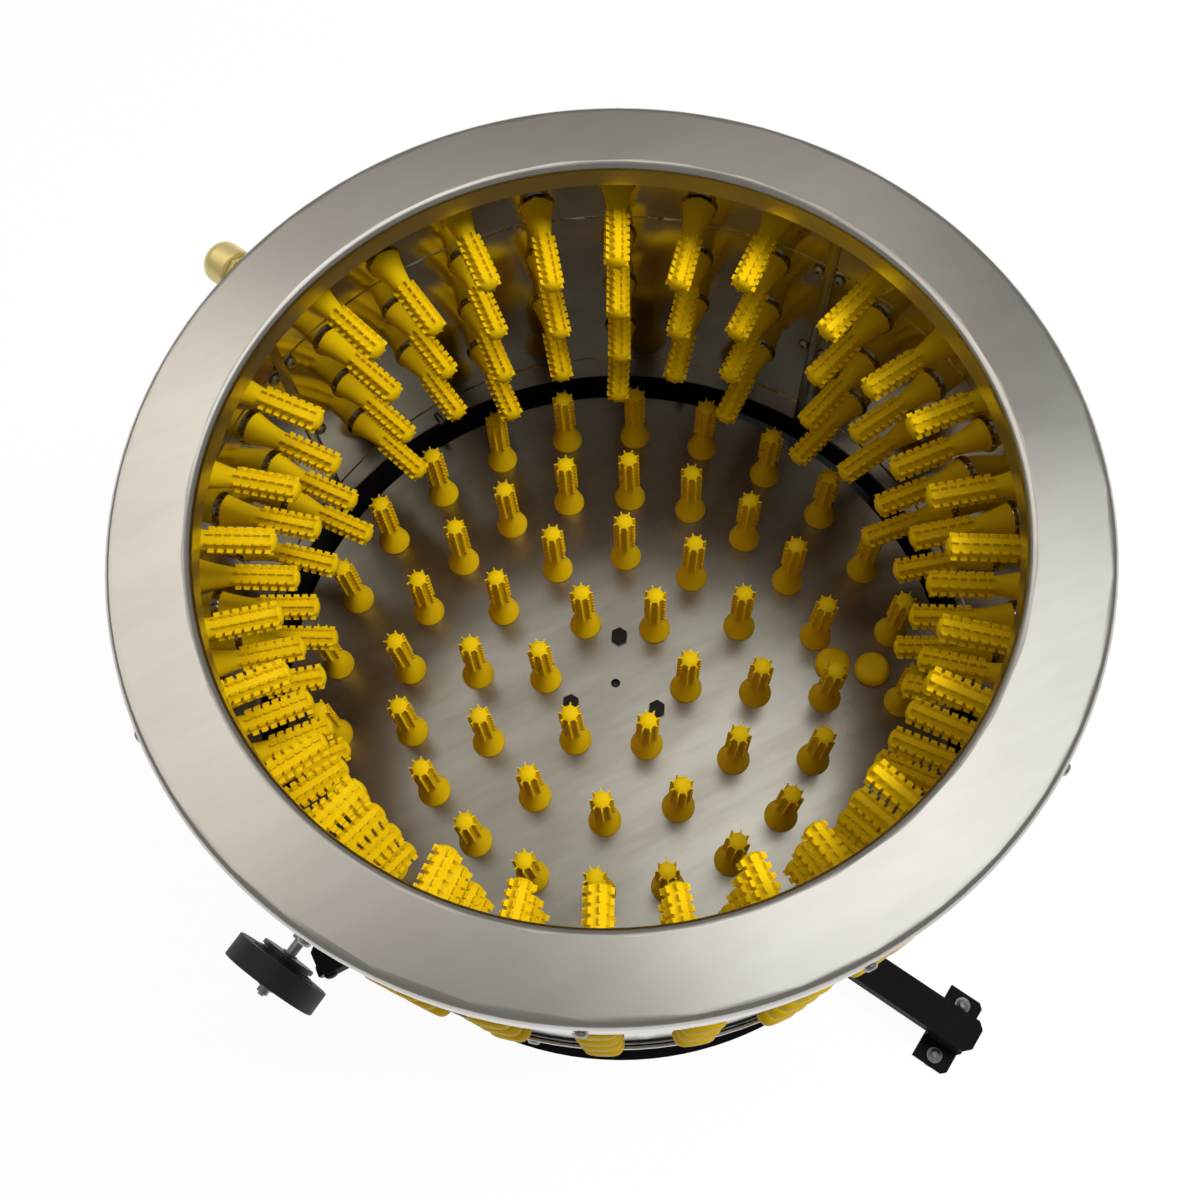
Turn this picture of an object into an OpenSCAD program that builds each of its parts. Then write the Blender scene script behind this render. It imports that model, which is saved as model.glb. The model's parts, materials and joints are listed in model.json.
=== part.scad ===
// Drum poultry plucker: a fingered drum and a fingered turning plate on a wheeled tripod base.
// Z is up, the floor is at z = 0, the axle lies along X and the front foot points to -Y.

/* [Rim] */
// Height of the rim's top face above the floor
rim_top_z = 860; // [800:1:920]
// Distance from the drum wall's outside to the rim's outer edge
rim_over = 10.5; // [9:0.5:16]
// Width of the rim that stands inside the drum wall
rim_inset = 41.2; // [34:0.2:60]
// Sheet thickness of the rim
rim_sheet = 2; // [1:0.1:3]
// Outside radius of the rim's two bends
rim_bend = 6; // [4:0.5:10]
// Height of the outer lip
rim_lip_out = 30; // [26:1:40]
// Height of the inner lip
rim_lip_in = 20; // [14:1:28]
// Number of screws in the outer lip
rim_screws_n = 12; // [6:1:18]
// Angle of the first rim screw
rim_screw_turn = 2; // [0:0.5:6]

/* [Drum] */
// Inside radius of the drum wall
drum_r = 295.5; // [285:0.5:320]
// Sheet thickness of the drum wall
drum_sheet = 1.5; // [1:0.1:2.5]
// Depth of the wall's lower edge below the rim's top
drum_drop = 336; // [328:1:342]
// Depth of a pressed bead
bead_depth = 1; // [0.6:0.1:1.5]
// Height of a pressed bead
bead_h = 5; // [4:0.5:6]
// Depth of the upper bead below the rim's top
bead_high_drop = 105; // [104.5:0.5:109]
// Depth of the lower bead below the rim's top
bead_low_drop = 304; // [296:1:308]
// Open joint between two wall panels
seam_gap = 0.8; // [0.4:0.1:2]
// Width of a seam strap, as an angle
strap_angle = 7; // [6:0.5:8]

/* [Fingers] */
// Length of a finger past the sheet
finger_out = 76; // [60:1:80]
// Radius of the finger's bell at the sheet
finger_base_r = 13; // [11:0.5:14]
// Length of the bell
finger_bell = 30; // [22:1:36]
// Radius over the ribs
finger_rib_r = 9.4; // [8.5:0.1:10]
// Radius of the core between the ribs
finger_core_r = 6.8; // [5.5:0.1:7.5]
// Number of ribs
finger_ribs = 8; // [6:1:9]
// Radius of the groove that grips the sheet
finger_neck_r = 9.5; // [8:0.1:10]
// Radius of the head behind the sheet
finger_head_r = 15; // [12:0.5:16]
// Thickness of the head
finger_head_t = 11; // [8:0.5:12]
// Rounding of the head's outer edge
finger_head_round = 5; // [3:0.5:6]
// Depth of the top row below the rim's top
row_first_drop = 65.8; // [60:0.2:68]
// Distance between two fingers of a column
row_pitch = 62.2; // [60:0.2:63]
// Shift of the three-finger columns
row_shift = 20.7; // [18:0.1:21]
// Angle between two columns of a panel
column_step = 12; // [11.4:0.1:12.4]

/* [Feather plate] */
// Depth of the plate's top below the rim's top
plate_drop = 355; // [350:1:358]
// Gap between the plate's edge and the drum wall
plate_gap = 11.5; // [8:0.5:16]
// Thickness of the plate
plate_t = 4; // [3:0.5:6]
// Radius of the innermost finger ring
ring_1_r = 60.4; // [58:0.2:64]
// Radius of the second finger ring
ring_2_r = 119.6; // [112:0.2:124]
// Radius of the third finger ring
ring_3_r = 178.7; // [172:0.2:182]
// Radius of the outer finger ring
ring_4_r = 242.5; // [238:0.5:246]
// Radius of the inner sweeper finger
sweep_in_r = 187; // [184:0.5:190]
// Radius of the outer sweeper finger
sweep_out_r = 220; // [218:0.5:224]
// Radius of the plate's bolt circle
plate_bolt_r = 42.5; // [40:0.5:44]

/* [Base tub] */
// Height of the tub's upper edge over the drum's lower edge
tub_lap = 18; // [14:1:19]
// Sheet thickness of the tub
tub_sheet = 2; // [1.5:0.1:3]
// Depth of the tub's floor below the plate's top
floor_drop = 90; // [88:1:94]
// Thickness of the floor
floor_t = 3; // [2:0.5:5]
// Height of the skirt below the floor
skirt_h = 72; // [60:1:76]
// Width of the outlet
outlet_w = 180; // [120:2:200]
// Height of the outlet
outlet_h = 76; // [60:1:78]
// Length of the chute
chute_l = 86; // [60:1:100]
// Fall of the chute, in degrees
chute_fall = 14; // [6:1:18]

/* [Drive] */
// Diameter of the main shaft
shaft_d = 25; // [20:1:30]
// Radius of the belt seat on the shaft pulley
big_pulley_r = 132; // [110:1:140]
// Radius of the belt seat on the motor pulley
small_pulley_r = 22; // [20:0.5:26]
// Distance from the main shaft to the motor shaft
motor_offset = 180; // [174:1:190]
// Width of the belt
belt_w = 20; // [14:1:24]
// Thickness of the belt
belt_t = 4; // [3:0.5:5]
// Clear height between tub floor and drive plate
drive_space = 82; // [80:1:92]
// Thickness of the drive plate
drive_plate_t = 6; // [4:0.5:10]
// Radius of the motor over its fins
motor_r = 78; // [72:1:84]
// Length of the motor's body
motor_l = 190; // [160:2:200]
// Diameter of the motor shaft
motor_shaft_d = 19; // [14:1:22]

/* [Frame] */
// Width of the legs' bars
bar_w = 38; // [34:1:40]
// Height of the arms
arm_h = 28; // [22:1:32]
// Wall thickness of arms and posts
bar_wall = 3; // [2:0.25:4]
// Height of the arms' underside above the floor
arm_z = 31; // [28:1:34]
// Distance from the drum's axis to the end of the front arm
arm_front_l = 469; // [460:1:500]
// Distance from the drum's axis to the end of a rear arm
arm_rear_l = 396; // [388:1:397]
// Distance from the drum's axis to the middle of a post
post_at = 250; // [240:1:256]
// Radius of the plate over the arms' inner ends
hub_plate_r = 110; // [90:1:120]
// Thickness of the plate over the arms
hub_plate_t = 6; // [4:0.5:8]
// Distance between the two front feet
foot_spread = 65; // [64:0.5:80]
// Distance from the arm's end back to the feet
foot_inset = 24; // [22:0.5:32]
// Radius of a rubber foot
foot_r = 13.5; // [12:0.5:16]
// Height of a rubber foot
foot_h = 5; // [4:0.5:8]
// Thickness of the foot plate
foot_plate_t = 4; // [3:0.5:6]

/* [Wheels] */
// Diameter of a wheel
wheel_d = 120; // [116:1:130]
// Width of the tread
tyre_w = 28; // [26:1:32]
// Depth of the tyre's section
tyre_t = 18; // [14:0.5:20]
// Distance from the machine's middle to a wheel's middle
wheel_x = 384; // [383:1:400]
// Distance from the drum's axis back to the axle
axle_y = 214; // [213:1:218]
// Diameter of the axle
axle_d = 13; // [12:0.5:14]
// Distance from the machine's middle to an axle lug's outer face
lug_x = 333; // [330:1:336]
// Thickness of an axle lug
lug_t = 10; // [8:0.5:12]

/* [Hose inlet] */
// Depth of the inlet below the rim's top
hose_drop = 15; // [14.5:0.5:17]
// Radius of the spray ring's tube
spray_r = 8; // [7:0.25:9]
// Outside radius of the swivel nut
hose_nut_r = 14.75; // [14:0.25:16]
// Radius of the swivel nut's threaded hole
hose_thread_r = 10.3; // [10.1:0.1:10.6]
// Length of the swivel nut
hose_nut_l = 19; // [18:1:24]
// Rounding of the swivel nut's outer end
hose_nut_round = 9; // [6:0.5:10]

/* [Switch] */
// Width of the switch box
switch_w = 84; // [80:1:100]
// Height of the switch box
switch_h = 112; // [108:1:130]
// Depth of the switch box
switch_t = 52; // [46:1:60]
// Wall of the switch box
switch_wall = 3; // [2:0.5:4]
// Radius of a push button
button_r = 11; // [9:0.5:12]
// Height of a button over the lid
button_out = 9; // [7:0.5:12]

/* [Fits] */
// Clearance between a screw and its hole
screw_clear = 0.3; // [0.2:0.05:0.5]
// Gap at a face that a curved wall faces
seat = 0.3; // [0.2:0.05:0.5]
// Radial clearance of a turning shaft
running = 0.06; // [0.03:0.01:0.1]
// Gap around moving pieces that don't guide each other
free_gap = 0.5; // [0.4:0.1:1]
// Gap between a washer and what is tightened on it
stack_gap = 0.05; // [0.02:0.01:0.1]

/* [Hidden] */
$fn = 64;

STEEL = "#b9b7b0";
BLACK = "#202122";
ZINC = "#9a9c9e";
YELLOW = "#e8bf12";
RUBBER = "#2b2b2c";
BRASS = "#c79a3c";

// Screw sizes: M5, M6, M8 and M10 shanks, with heads and nuts in proportion
m5 = 5;
m6 = 6;
m8 = 8;
m10 = 10;
head_share = 0.85;
head_h_share = 0.55;
hex_share = 0.94;
nut_h_share = 0.8;

// Drum and rim
hose_turn = 88.2;
panels_n = 4;
columns_n = 7;
panel_angle = 360 / panels_n;
drum_out_r = drum_r + drum_sheet;
rim_r = drum_out_r + rim_over;
rim_in_r = drum_r - rim_inset;
lip_face_r = rim_r - rim_sheet;
drum_top_z = rim_top_z - rim_sheet - seat;
drum_low_z = rim_top_z - drum_drop;
rim_screw_z = rim_top_z - rim_lip_out / 2 - 1;
hose_room = 10;
rim_screw_turns = [
    for (i = [0 : rim_screws_n - 1])
        let (turn = rim_screw_turn + i * 360 / rim_screws_n)
        if (abs(turn - hose_turn) > hose_room) turn
];
strap_top_z = rim_top_z - rim_lip_out - 2;
strap_low_z = drum_low_z + tub_lap + 2;
seam_bolt_drops = [bead_high_drop + 9, bead_low_drop - 89];
finger_seat = seat + finger_base_r * finger_base_r / (2 * drum_r);

// Feather plate
plate_z = rim_top_z - plate_drop;
plate_r = drum_r - plate_gap;
plate_low_z = plate_z - plate_t;
plate_rings = [[ring_1_r, 6, 0], [ring_2_r, 12, 0], [ring_3_r, 20, 12], [ring_4_r, 24, 0]];
sweepers = [[sweep_in_r, -51], [sweep_out_r, -53]];
plate_bolt_turns = [30, 150, 270];
plate_hole_r = 4;
shaft_hole_depth = 24;
plate_hub_t = 12;
plate_hub_lobe_r = 12;
plate_hub_disc_r = plate_bolt_r - 3;
plate_hub_boss_r = shaft_d / 2 + 10;
plate_hub_boss_h = 26;

// Tub
tub_in_r = drum_out_r + seat;
tub_out_r = tub_in_r + tub_sheet;
tub_top_z = drum_low_z + tub_lap;
floor_z = plate_z - floor_drop;
floor_low_z = floor_z - floor_t;
tub_low_z = floor_low_z - skirt_h;
tub_screw_z = drum_low_z + tub_lap / 2;
tub_screws_n = 8;
tub_screw_turn = 22.5;
outlet_low_z = floor_z;

// Drive
drive_top_z = floor_low_z - drive_space;
drive_low_z = drive_top_z - drive_plate_t;
bearing_r = 50;
bearing_flange_t = 12;
bearing_boss_r = shaft_d / 2 + 14;
bearing_boss_h = 18;
bearing_bolt_r = bearing_r - 10;
pulley_lip = belt_t + 2;
pulley_lip_t = 3;
pulley_w = belt_w + 2 * (free_gap + pulley_lip_t);
pulley_z = drive_top_z + 16;
belt_z = pulley_z + pulley_lip_t + free_gap;
belt_gap = 0.4;
pulley_hub_r = shaft_d / 2 + 11;
shaft_low_z = drive_low_z - bearing_flange_t - bearing_boss_h - 6;
motor_top_z = drive_low_z;
motor_low_z = motor_top_z - motor_l;
motor_core_r = motor_r - 9;
motor_fins_n = 24;
motor_fin_t = 3;
motor_flange_t = 12;
motor_neck_r = motor_core_r - 14;
motor_neck_h = 30;
motor_fin_gap = 8;
motor_cover_h = 38;
motor_cover_t = 2;
motor_cover_r = motor_r - 3;
cover_slots_n = 12;
cover_slot_from = 22;
cover_slot_l = 34;
cover_slot_w = 6;
motor_bolt_r = motor_r - 14;
motor_shaft_depth = 50;
motor_bore_depth = 60;
terminal_box_t = 36;
terminal_box_w = 68;
terminal_box_h = 84;
terminal_box_rise = 40;
terminal_hole_r = 8;
terminal_hole_l = 14;
drive_half_x = 140;
drive_front_y = 140;
drive_back_y = motor_offset + motor_r + 24;
stand_r = 10;
stand_front = [drive_half_x - 16, -drive_front_y + 16];
stand_back = [drive_half_x - 34, drive_back_y - 16];
stand_places = [
    stand_front, stand_back,
    [-stand_front[0], stand_front[1]], [-stand_back[0], stand_back[1]]
];

// Frame
arm_top_z = arm_z + arm_h;
arm_start = 14;
arm_chamfer = 7;
rear_turn = 28;
arm_turns = [-90, rear_turn, 180 - rear_turn];
post_pad_t = 6;
post_pad_w = 86;
post_bolt_half = 31;
foot_y = -(arm_front_l - foot_inset);
foot_plate_l = 41;
foot_plate_w = foot_spread + 2 * foot_r;
foot_corner = 5;
washer_t = 1.6;

// Wheels
axle_z = wheel_d / 2;
axle_r = axle_d / 2;
tyre_in_r = wheel_d / 2 - tyre_t;
tread_chamfer = 2;
tyre_bead = 1;
tyre_at_x = wheel_x - tyre_w / 2;
hub_flange_t = 5;
hub_flange_r = 34;
hub_in_x = tyre_at_x - 10.5;
hub_out_x = tyre_at_x + tyre_w + 2.5;
hub_l = hub_out_x - hub_in_x;
hub_r = axle_r + 10;
hub_web_t = 10;
hub_rim_t = 6;
hub_rim_inset = 3;
axle_washer_t = 2;
axle_washer_r = 10;
lug_r = axle_r + 11;
lug_front = 24;
lug_nut_t = 8;
lug_nut_r = 11;
axle_end_r = m8 / 2;
axle_nut_t = m8 * nut_h_share;
axle_nut_r = m8 * hex_share;
axle_shoulder_x = hub_out_x + free_gap;
axle_nut_x = axle_shoulder_x + axle_washer_t + 2 * stack_gap;
axle_end_x = axle_nut_x + axle_nut_t + 2.5;

// Hose inlet, on the rear of the rim
hose_z = rim_top_z - hose_drop;
spray_ring_r = drum_r - spray_r - 7;
spray_wall = 1.5;
spigot_r = spray_r - 2;
stem_bore_r = spigot_r - 2;
stem_body_r = 7.2;
stem_neck_r = 6.5;
stem_collar_r = 9.6;
stem_hex_r = 12;
stem_hex_t = 3;
stem_hex_at = rim_r + seat;
stem_neck_at = stem_hex_at + stem_hex_t;
nut_back_t = 4;
nut_at = stem_neck_at + free_gap;
nut_end = nut_at + hose_nut_l;
collar_at = nut_at + nut_back_t + free_gap;
collar_t = 3;
washer_at = collar_at + collar_t + seat;
washer_l = 3;
thread_at = washer_at + washer_l + seat;
nut_relief = 0.6;
nut_mouth_r = hose_thread_r + 0.5;
nut_round_angle = acos((nut_mouth_r - hose_nut_r + hose_nut_round) / hose_nut_round);
nut_round_z = hose_nut_l - hose_nut_round * sin(nut_round_angle);
nut_edge = 0.8;
clip_w = 12;
clip_turns = [15, 75, 135, 195, 255, 315];

// The drum's axis stands off the origin, so that the origin is the middle of the footprint
nut_reach = nut_end * sin(hose_turn) + nut_mouth_r * cos(hose_turn);
axis_y = (arm_front_l - nut_reach) / 2;

// Switch box, behind the right rear post
switch_turn = 62;
switch_at = tub_out_r + seat;
switch_mid_z = floor_z + 46;
lid_t = 4;
lid_at = switch_at + switch_t;
button_stem = 14;
start_z = switch_mid_z + 24;
stop_z = switch_mid_z - 24;
gland_r = 11;
gland_bore_r = 5;
gland_l = 22;

// Everything is placed from the drum's axis
module on_axis(turn = 0) translate([0, axis_y, 0]) rotate([0, 0, turn]) children();

// Points the children's Z axis outwards along a radius, from radius r at height z
module outwards(turn, r, z) on_axis(turn) translate([r, 0, z]) rotate([0, 90, 0]) children();

// Points the children's Z axis inwards along a radius
module inwards(turn, r, z) on_axis(turn) translate([r, 0, z]) rotate([0, -90, 0]) children();

// A straight round hole along a radius
module radial_hole(turn, r0, r1, z, hole_r) outwards(turn, r0, z) cylinder(h = r1 - r0, r = hole_r);

// Button head over z = 0 and a shank of length l below it
module button_screw(d, l) {
    translate([0, 0, -l]) cylinder(h = l + 0.5, d = d);
    cylinder(h = d * head_h_share, r1 = d * head_share, r2 = d * head_share * 0.6);
}

// Hexagon head over z = 0 and a shank of length l below it
module hex_bolt(d, l) {
    translate([0, 0, -l]) cylinder(h = l + 0.5, d = d);
    cylinder(h = d * 0.65, r = d * hex_share, $fn = 6);
}

// Hexagon nut under z = 0 on a shank of diameter d
module hex_nut(d) {
    difference() {
        translate([0, 0, -d * nut_h_share]) cylinder(h = d * nut_h_share, r = d * hex_share, $fn = 6);
        translate([0, 0, -d]) cylinder(h = 2 * d, r = d / 2 + 0.05);
    }
}

// Bolt with its nut, clamped over a stack of thickness t below z = 0
module bolt_and_nut(d, t) {
    hex_bolt(d, t + d);
    translate([0, 0, -t]) hex_nut(d);
}

function arc(cx, cz, r, from, to, n = 6) =
    [for (i = [0 : n]) let (a = from + (to - from) * i / n) [cx + r * cos(a), cz + r * sin(a)]];

// The rim's section: an inverted channel with rounded bends
function rim_section() = concat(
    [[rim_in_r, rim_top_z - rim_lip_in]],
    arc(rim_in_r + rim_bend, rim_top_z - rim_bend, rim_bend, 180, 90),
    arc(rim_r - rim_bend, rim_top_z - rim_bend, rim_bend, 90, 0),
    [[rim_r, rim_top_z - rim_lip_out], [lip_face_r, rim_top_z - rim_lip_out]],
    arc(rim_r - rim_bend, rim_top_z - rim_bend, rim_bend - rim_sheet, 0, 90),
    arc(rim_in_r + rim_bend, rim_top_z - rim_bend, rim_bend - rim_sheet, 90, 180),
    [[rim_in_r + rim_sheet, rim_top_z - rim_lip_in]]
);

function bead_points(r, z) = [
    [r, z - bead_h / 2], [r + bead_depth, z - bead_h / 4],
    [r + bead_depth, z + bead_h / 4], [r, z + bead_h / 2]
];

// One face of a beaded sheet, from its lower to its upper edge
function beaded_face(r, z0, z1) = concat(
    [[r, z0]],
    bead_points(r, rim_top_z - bead_low_drop),
    bead_points(r, rim_top_z - bead_high_drop),
    [[r, z1]]
);

function reversed(list) = [for (i = [len(list) - 1 : -1 : 0]) list[i]];

function beaded_section(r, t, z0, z1) =
    concat(beaded_face(r, z0, z1), reversed(beaded_face(r + t, z0, z1)));

module rim_ring() color(STEEL)
    difference() {
        on_axis() rotate_extrude() polygon(rim_section());
        for (turn = rim_screw_turns)
            radial_hole(turn, lip_face_r - 4, rim_r + 4, rim_screw_z, m5 / 2 + screw_clear);
        radial_hole(hose_turn, lip_face_r - 4, rim_r + 4, hose_z, stem_body_r + screw_clear);
    }

module rim_screws() color(ZINC)
    for (turn = rim_screw_turns)
        outwards(turn, rim_r + seat, rim_screw_z) button_screw(m5, rim_r - drum_r + 4);

module rim_spacers() color(BLACK)
    for (turn = rim_screw_turns)
        outwards(turn, drum_out_r + seat, rim_screw_z) difference() {
            cylinder(h = lip_face_r - drum_out_r - 2 * seat, r = m5);
            translate([0, 0, -1]) cylinder(h = rim_over + 2, r = m5 / 2 + screw_clear);
        }

module spray_ring() color(STEEL)
    difference() {
        on_axis() translate([0, 0, hose_z]) rotate_extrude() translate([spray_ring_r, 0]) difference() {
            circle(r = spray_r);
            circle(r = spray_r - spray_wall);
        }
        radial_hole(hose_turn, spray_ring_r, spray_ring_r + 2 * spray_r, hose_z, spigot_r + screw_clear);
    }

module spray_clips() color(STEEL)
    for (turn = clip_turns)
        on_axis(turn) difference() {
            translate([spray_ring_r - spray_r - 3, -clip_w / 2, hose_z - spray_r - 3])
                cube([2 * spray_r + 6, clip_w, drum_top_z - hose_z + spray_r + 3]);
            translate([spray_ring_r, clip_w, hose_z]) rotate([90, 0, 0])
                cylinder(h = 2 * clip_w, r = spray_r + seat);
        }

module hose_stem() color(BRASS)
    difference() {
        union() {
            outwards(hose_turn, spray_ring_r + 1, hose_z)
                cylinder(h = stem_hex_at - spray_ring_r, r = spigot_r);
            outwards(hose_turn, spray_ring_r + spray_r + 2, hose_z)
                cylinder(h = stem_hex_at - spray_ring_r - spray_r, r = stem_body_r);
            outwards(hose_turn, stem_hex_at, hose_z) cylinder(h = stem_hex_t, r = stem_hex_r, $fn = 6);
            outwards(hose_turn, stem_hex_at + 1, hose_z)
                cylinder(h = collar_at - stem_hex_at, r = stem_neck_r);
            outwards(hose_turn, collar_at, hose_z) cylinder(h = collar_t, r = stem_collar_r);
        }
        radial_hole(hose_turn, spray_ring_r - spray_r, nut_end, hose_z, stem_bore_r);
    }

// Swivel nut: a back wall behind the stem's collar, a thread and a rounded outer end
module hose_nut() color(BRASS)
    outwards(hose_turn, nut_at, hose_z) rotate_extrude() polygon(concat(
        [[stem_neck_r + free_gap, 0], [hose_nut_r - nut_edge, 0], [hose_nut_r, nut_edge]],
        arc(hose_nut_r - hose_nut_round, nut_round_z, hose_nut_round, 0, nut_round_angle),
        [[hose_thread_r, hose_nut_l], [hose_thread_r, thread_at - nut_at],
            [hose_thread_r + nut_relief, thread_at - nut_at], [hose_thread_r + nut_relief, nut_back_t],
            [stem_neck_r + free_gap, nut_back_t]]));

module hose_washer() color(RUBBER)
    outwards(hose_turn, washer_at, hose_z) difference() {
        cylinder(h = washer_l, r = hose_thread_r - seat);
        translate([0, 0, -1]) cylinder(h = washer_l + 2, r = stem_bore_r + 2);
    }

// Angle of a column of fingers: four panels, seven columns in each
function column_turn(panel, column) =
    panel_angle * (panel + 0.5) + (column - (columns_n - 1) / 2) * column_step;

// Depths of the fingers of a column: four and three in turn
function column_drops(column) =
    let (odd = column % 2) [for (i = [0 : 3 - odd]) row_first_drop + odd * row_shift + i * row_pitch];

// Runs the children's place for each wall finger of a panel
module each_wall_finger(panel)
    for (column = [0 : columns_n - 1])
        for (drop = column_drops(column))
            inwards(column_turn(panel, column), drum_r, rim_top_z - drop) children();

module drum_panel(panel) {
    half_gap = asin(seam_gap / 2 / drum_r);
    color(STEEL) difference() {
        on_axis(panel * panel_angle + half_gap)
            rotate_extrude(angle = panel_angle - 2 * half_gap)
                polygon(beaded_section(drum_r, drum_sheet, drum_low_z, drum_top_z));
        each_wall_finger(panel) translate([0, 0, -drum_sheet - 4])
            cylinder(h = drum_sheet + 8, r = finger_neck_r + screw_clear);
        for (turn = rim_screw_turns)
            radial_hole(turn, drum_r - 4, drum_out_r + 4, rim_screw_z, m5 / 2 + screw_clear);
        for (i = [0 : tub_screws_n - 1])
            radial_hole(tub_screw_turn + i * 360 / tub_screws_n, drum_r - 4, drum_out_r + 4, tub_screw_z,
                m6 / 2 + screw_clear);
        for (side = [0, 1])
            for (drop = seam_bolt_drops)
                radial_hole((panel + side) * panel_angle + (1 - 2 * side) * strap_angle / 4, drum_r - 4,
                    drum_out_r + 4, rim_top_z - drop, m5 / 2 + screw_clear);
        radial_hole(hose_turn, drum_r - 4, drum_out_r + 4, hose_z, stem_body_r + screw_clear);
    }
}

// Both sides of every seam, at each bolt height
module each_seam_bolt(r)
    for (panel = [0 : panels_n - 1])
        for (side = [-1, 1])
            for (drop = seam_bolt_drops)
                inwards(panel * panel_angle + side * strap_angle / 4, r, rim_top_z - drop) children();

module seam_straps() color(STEEL)
    difference() {
        for (panel = [0 : panels_n - 1])
            on_axis(panel * panel_angle - strap_angle / 2)
                rotate_extrude(angle = strap_angle)
                    polygon(beaded_section(drum_out_r + seat, drum_sheet, strap_low_z, strap_top_z));
        each_seam_bolt(drum_r + 10) cylinder(h = 20, r = m5 / 2 + screw_clear);
    }

module seam_bolts() color(ZINC)
    each_seam_bolt(drum_r - seat) {
        button_screw(m5, 2 * drum_sheet + 7);
        translate([0, 0, -2 * drum_sheet - 3 * seat]) hex_nut(m5);
    }

// Half profile of a finger: rounded head, groove for the sheet, bell and domed core
function finger_section(sheet, gap) =
    let (bell_band = 7, bell_n = 3, dome = 4, back = -sheet - seat, head_low = back - finger_head_t)
    concat(
        [[0, head_low], [finger_head_r - finger_head_round, head_low],
            [finger_head_r - finger_head_round * 0.3, head_low + finger_head_round * 0.3],
            [finger_head_r, head_low + finger_head_round], [finger_head_r, back], [finger_neck_r, back],
            [finger_neck_r, gap], [finger_base_r, gap]],
        [for (i = [0 : bell_n]) let (share = i / bell_n)
            [finger_core_r - 0.5 + (finger_base_r - finger_core_r + 0.5) * (0.5 + 0.5 * cos(180 * share)),
                bell_band + (finger_bell - bell_band) * share]],
        [[finger_core_r - 0.5, finger_out - dome], [0, finger_out]]
    );

// Outline of the ribs: a star with one point for each rib
function rib_outline() = [
    for (i = [0 : 2 * finger_ribs - 1])
        let (turn = 180 * i / finger_ribs, r = i % 2 == 0 ? finger_rib_r : finger_core_r)
        [r * cos(turn), r * sin(turn)]
];

// A rubber finger through a sheet whose near face is at z = 0, pointing to +Z
module finger(sheet, gap) {
    rib_from = finger_bell * 0.5;
    rib_to = finger_out - 3;
    rotate_extrude() polygon(finger_section(sheet, gap));
    translate([0, 0, rib_from]) linear_extrude(rib_to - rib_from) polygon(rib_outline());
}

module wall_fingers(panel) color(YELLOW) each_wall_finger(panel) finger(drum_sheet, finger_seat);

module base_tub() color(BLACK)
    difference() {
        on_axis() union() {
            rotate_extrude() polygon([
                [tub_in_r, tub_low_z], [tub_out_r, tub_low_z],
                [tub_out_r, tub_top_z], [tub_in_r, tub_top_z]]);
            translate([0, 0, floor_low_z]) cylinder(h = floor_t, r = tub_in_r + tub_sheet / 2);
        }
        on_axis() translate([0, 0, floor_low_z - 1]) cylinder(h = floor_t + 2, r = shaft_d / 2 + 3);
        on_axis() translate([tub_in_r - 30, -outlet_w / 2, outlet_low_z]) cube([60, outlet_w, outlet_h]);
        for (i = [0 : tub_screws_n - 1])
            radial_hole(tub_screw_turn + i * 360 / tub_screws_n, tub_in_r - 4, tub_out_r + 4, tub_screw_z,
                m6 / 2 + screw_clear);
        each_leg_bolt(floor_low_z - 1) cylinder(h = floor_t + 2, r = m8 / 2 + screw_clear);
        for (p = stand_places)
            on_axis() translate([p[0], p[1], floor_low_z - 1])
                cylinder(h = floor_t + 2, r = m10 / 2 + screw_clear);
        each_bearing_bolt(floor_low_z - 1) cylinder(h = floor_t + 2, r = m8 / 2 + screw_clear);
    }

// Tray with a sloping floor and two sides, cut to the tub's curve
module feather_chute() color(BLACK)
    difference() {
        on_axis() translate([tub_in_r, 0, outlet_low_z]) rotate([0, chute_fall, 0]) difference() {
            translate([-40, -outlet_w / 2 - tub_sheet, -tub_sheet])
                cube([chute_l + 40, outlet_w + 2 * tub_sheet, outlet_h * 0.7]);
            translate([-50, -outlet_w / 2, 0]) cube([chute_l + 60, outlet_w, outlet_h]);
        }
        on_axis() translate([0, 0, floor_low_z - outlet_h])
            cylinder(h = 4 * outlet_h, r = tub_out_r + seat);
    }

module tub_screws() color(ZINC)
    for (i = [0 : tub_screws_n - 1])
        outwards(tub_screw_turn + i * 360 / tub_screws_n, tub_out_r + seat, tub_screw_z)
            button_screw(m6, tub_sheet + drum_sheet + 6);

module each_plate_finger()
    for (ring = plate_rings)
        for (i = [0 : ring[1] - 1])
            on_axis(ring[2] + 360 * i / ring[1]) translate([ring[0], 0, plate_z]) children();

module each_sweeper()
    for (s = sweepers)
        on_axis(s[1]) translate([s[0], 0, plate_low_z]) mirror([0, 0, 1]) children();

module each_plate_bolt(z)
    for (turn = plate_bolt_turns)
        on_axis(turn) translate([plate_bolt_r, 0, z]) children();

module feather_plate() color(STEEL)
    difference() {
        on_axis() translate([0, 0, plate_low_z]) cylinder(h = plate_t, r = plate_r);
        on_axis() translate([0, 0, plate_low_z - 1]) cylinder(h = plate_t + 2, r = plate_hole_r);
        each_plate_finger() translate([0, 0, -plate_t - 1])
            cylinder(h = plate_t + 2, r = finger_neck_r + screw_clear);
        each_sweeper() translate([0, 0, -plate_t - 1])
            cylinder(h = plate_t + 2, r = finger_neck_r + screw_clear);
        each_plate_bolt(plate_low_z - 1) cylinder(h = plate_t + 2, r = m8 / 2 + screw_clear);
    }

module plate_fingers() color(YELLOW) each_plate_finger() finger(plate_t, seat);

module sweeper_fingers() color(YELLOW) each_sweeper() finger(plate_t, seat);

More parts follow.
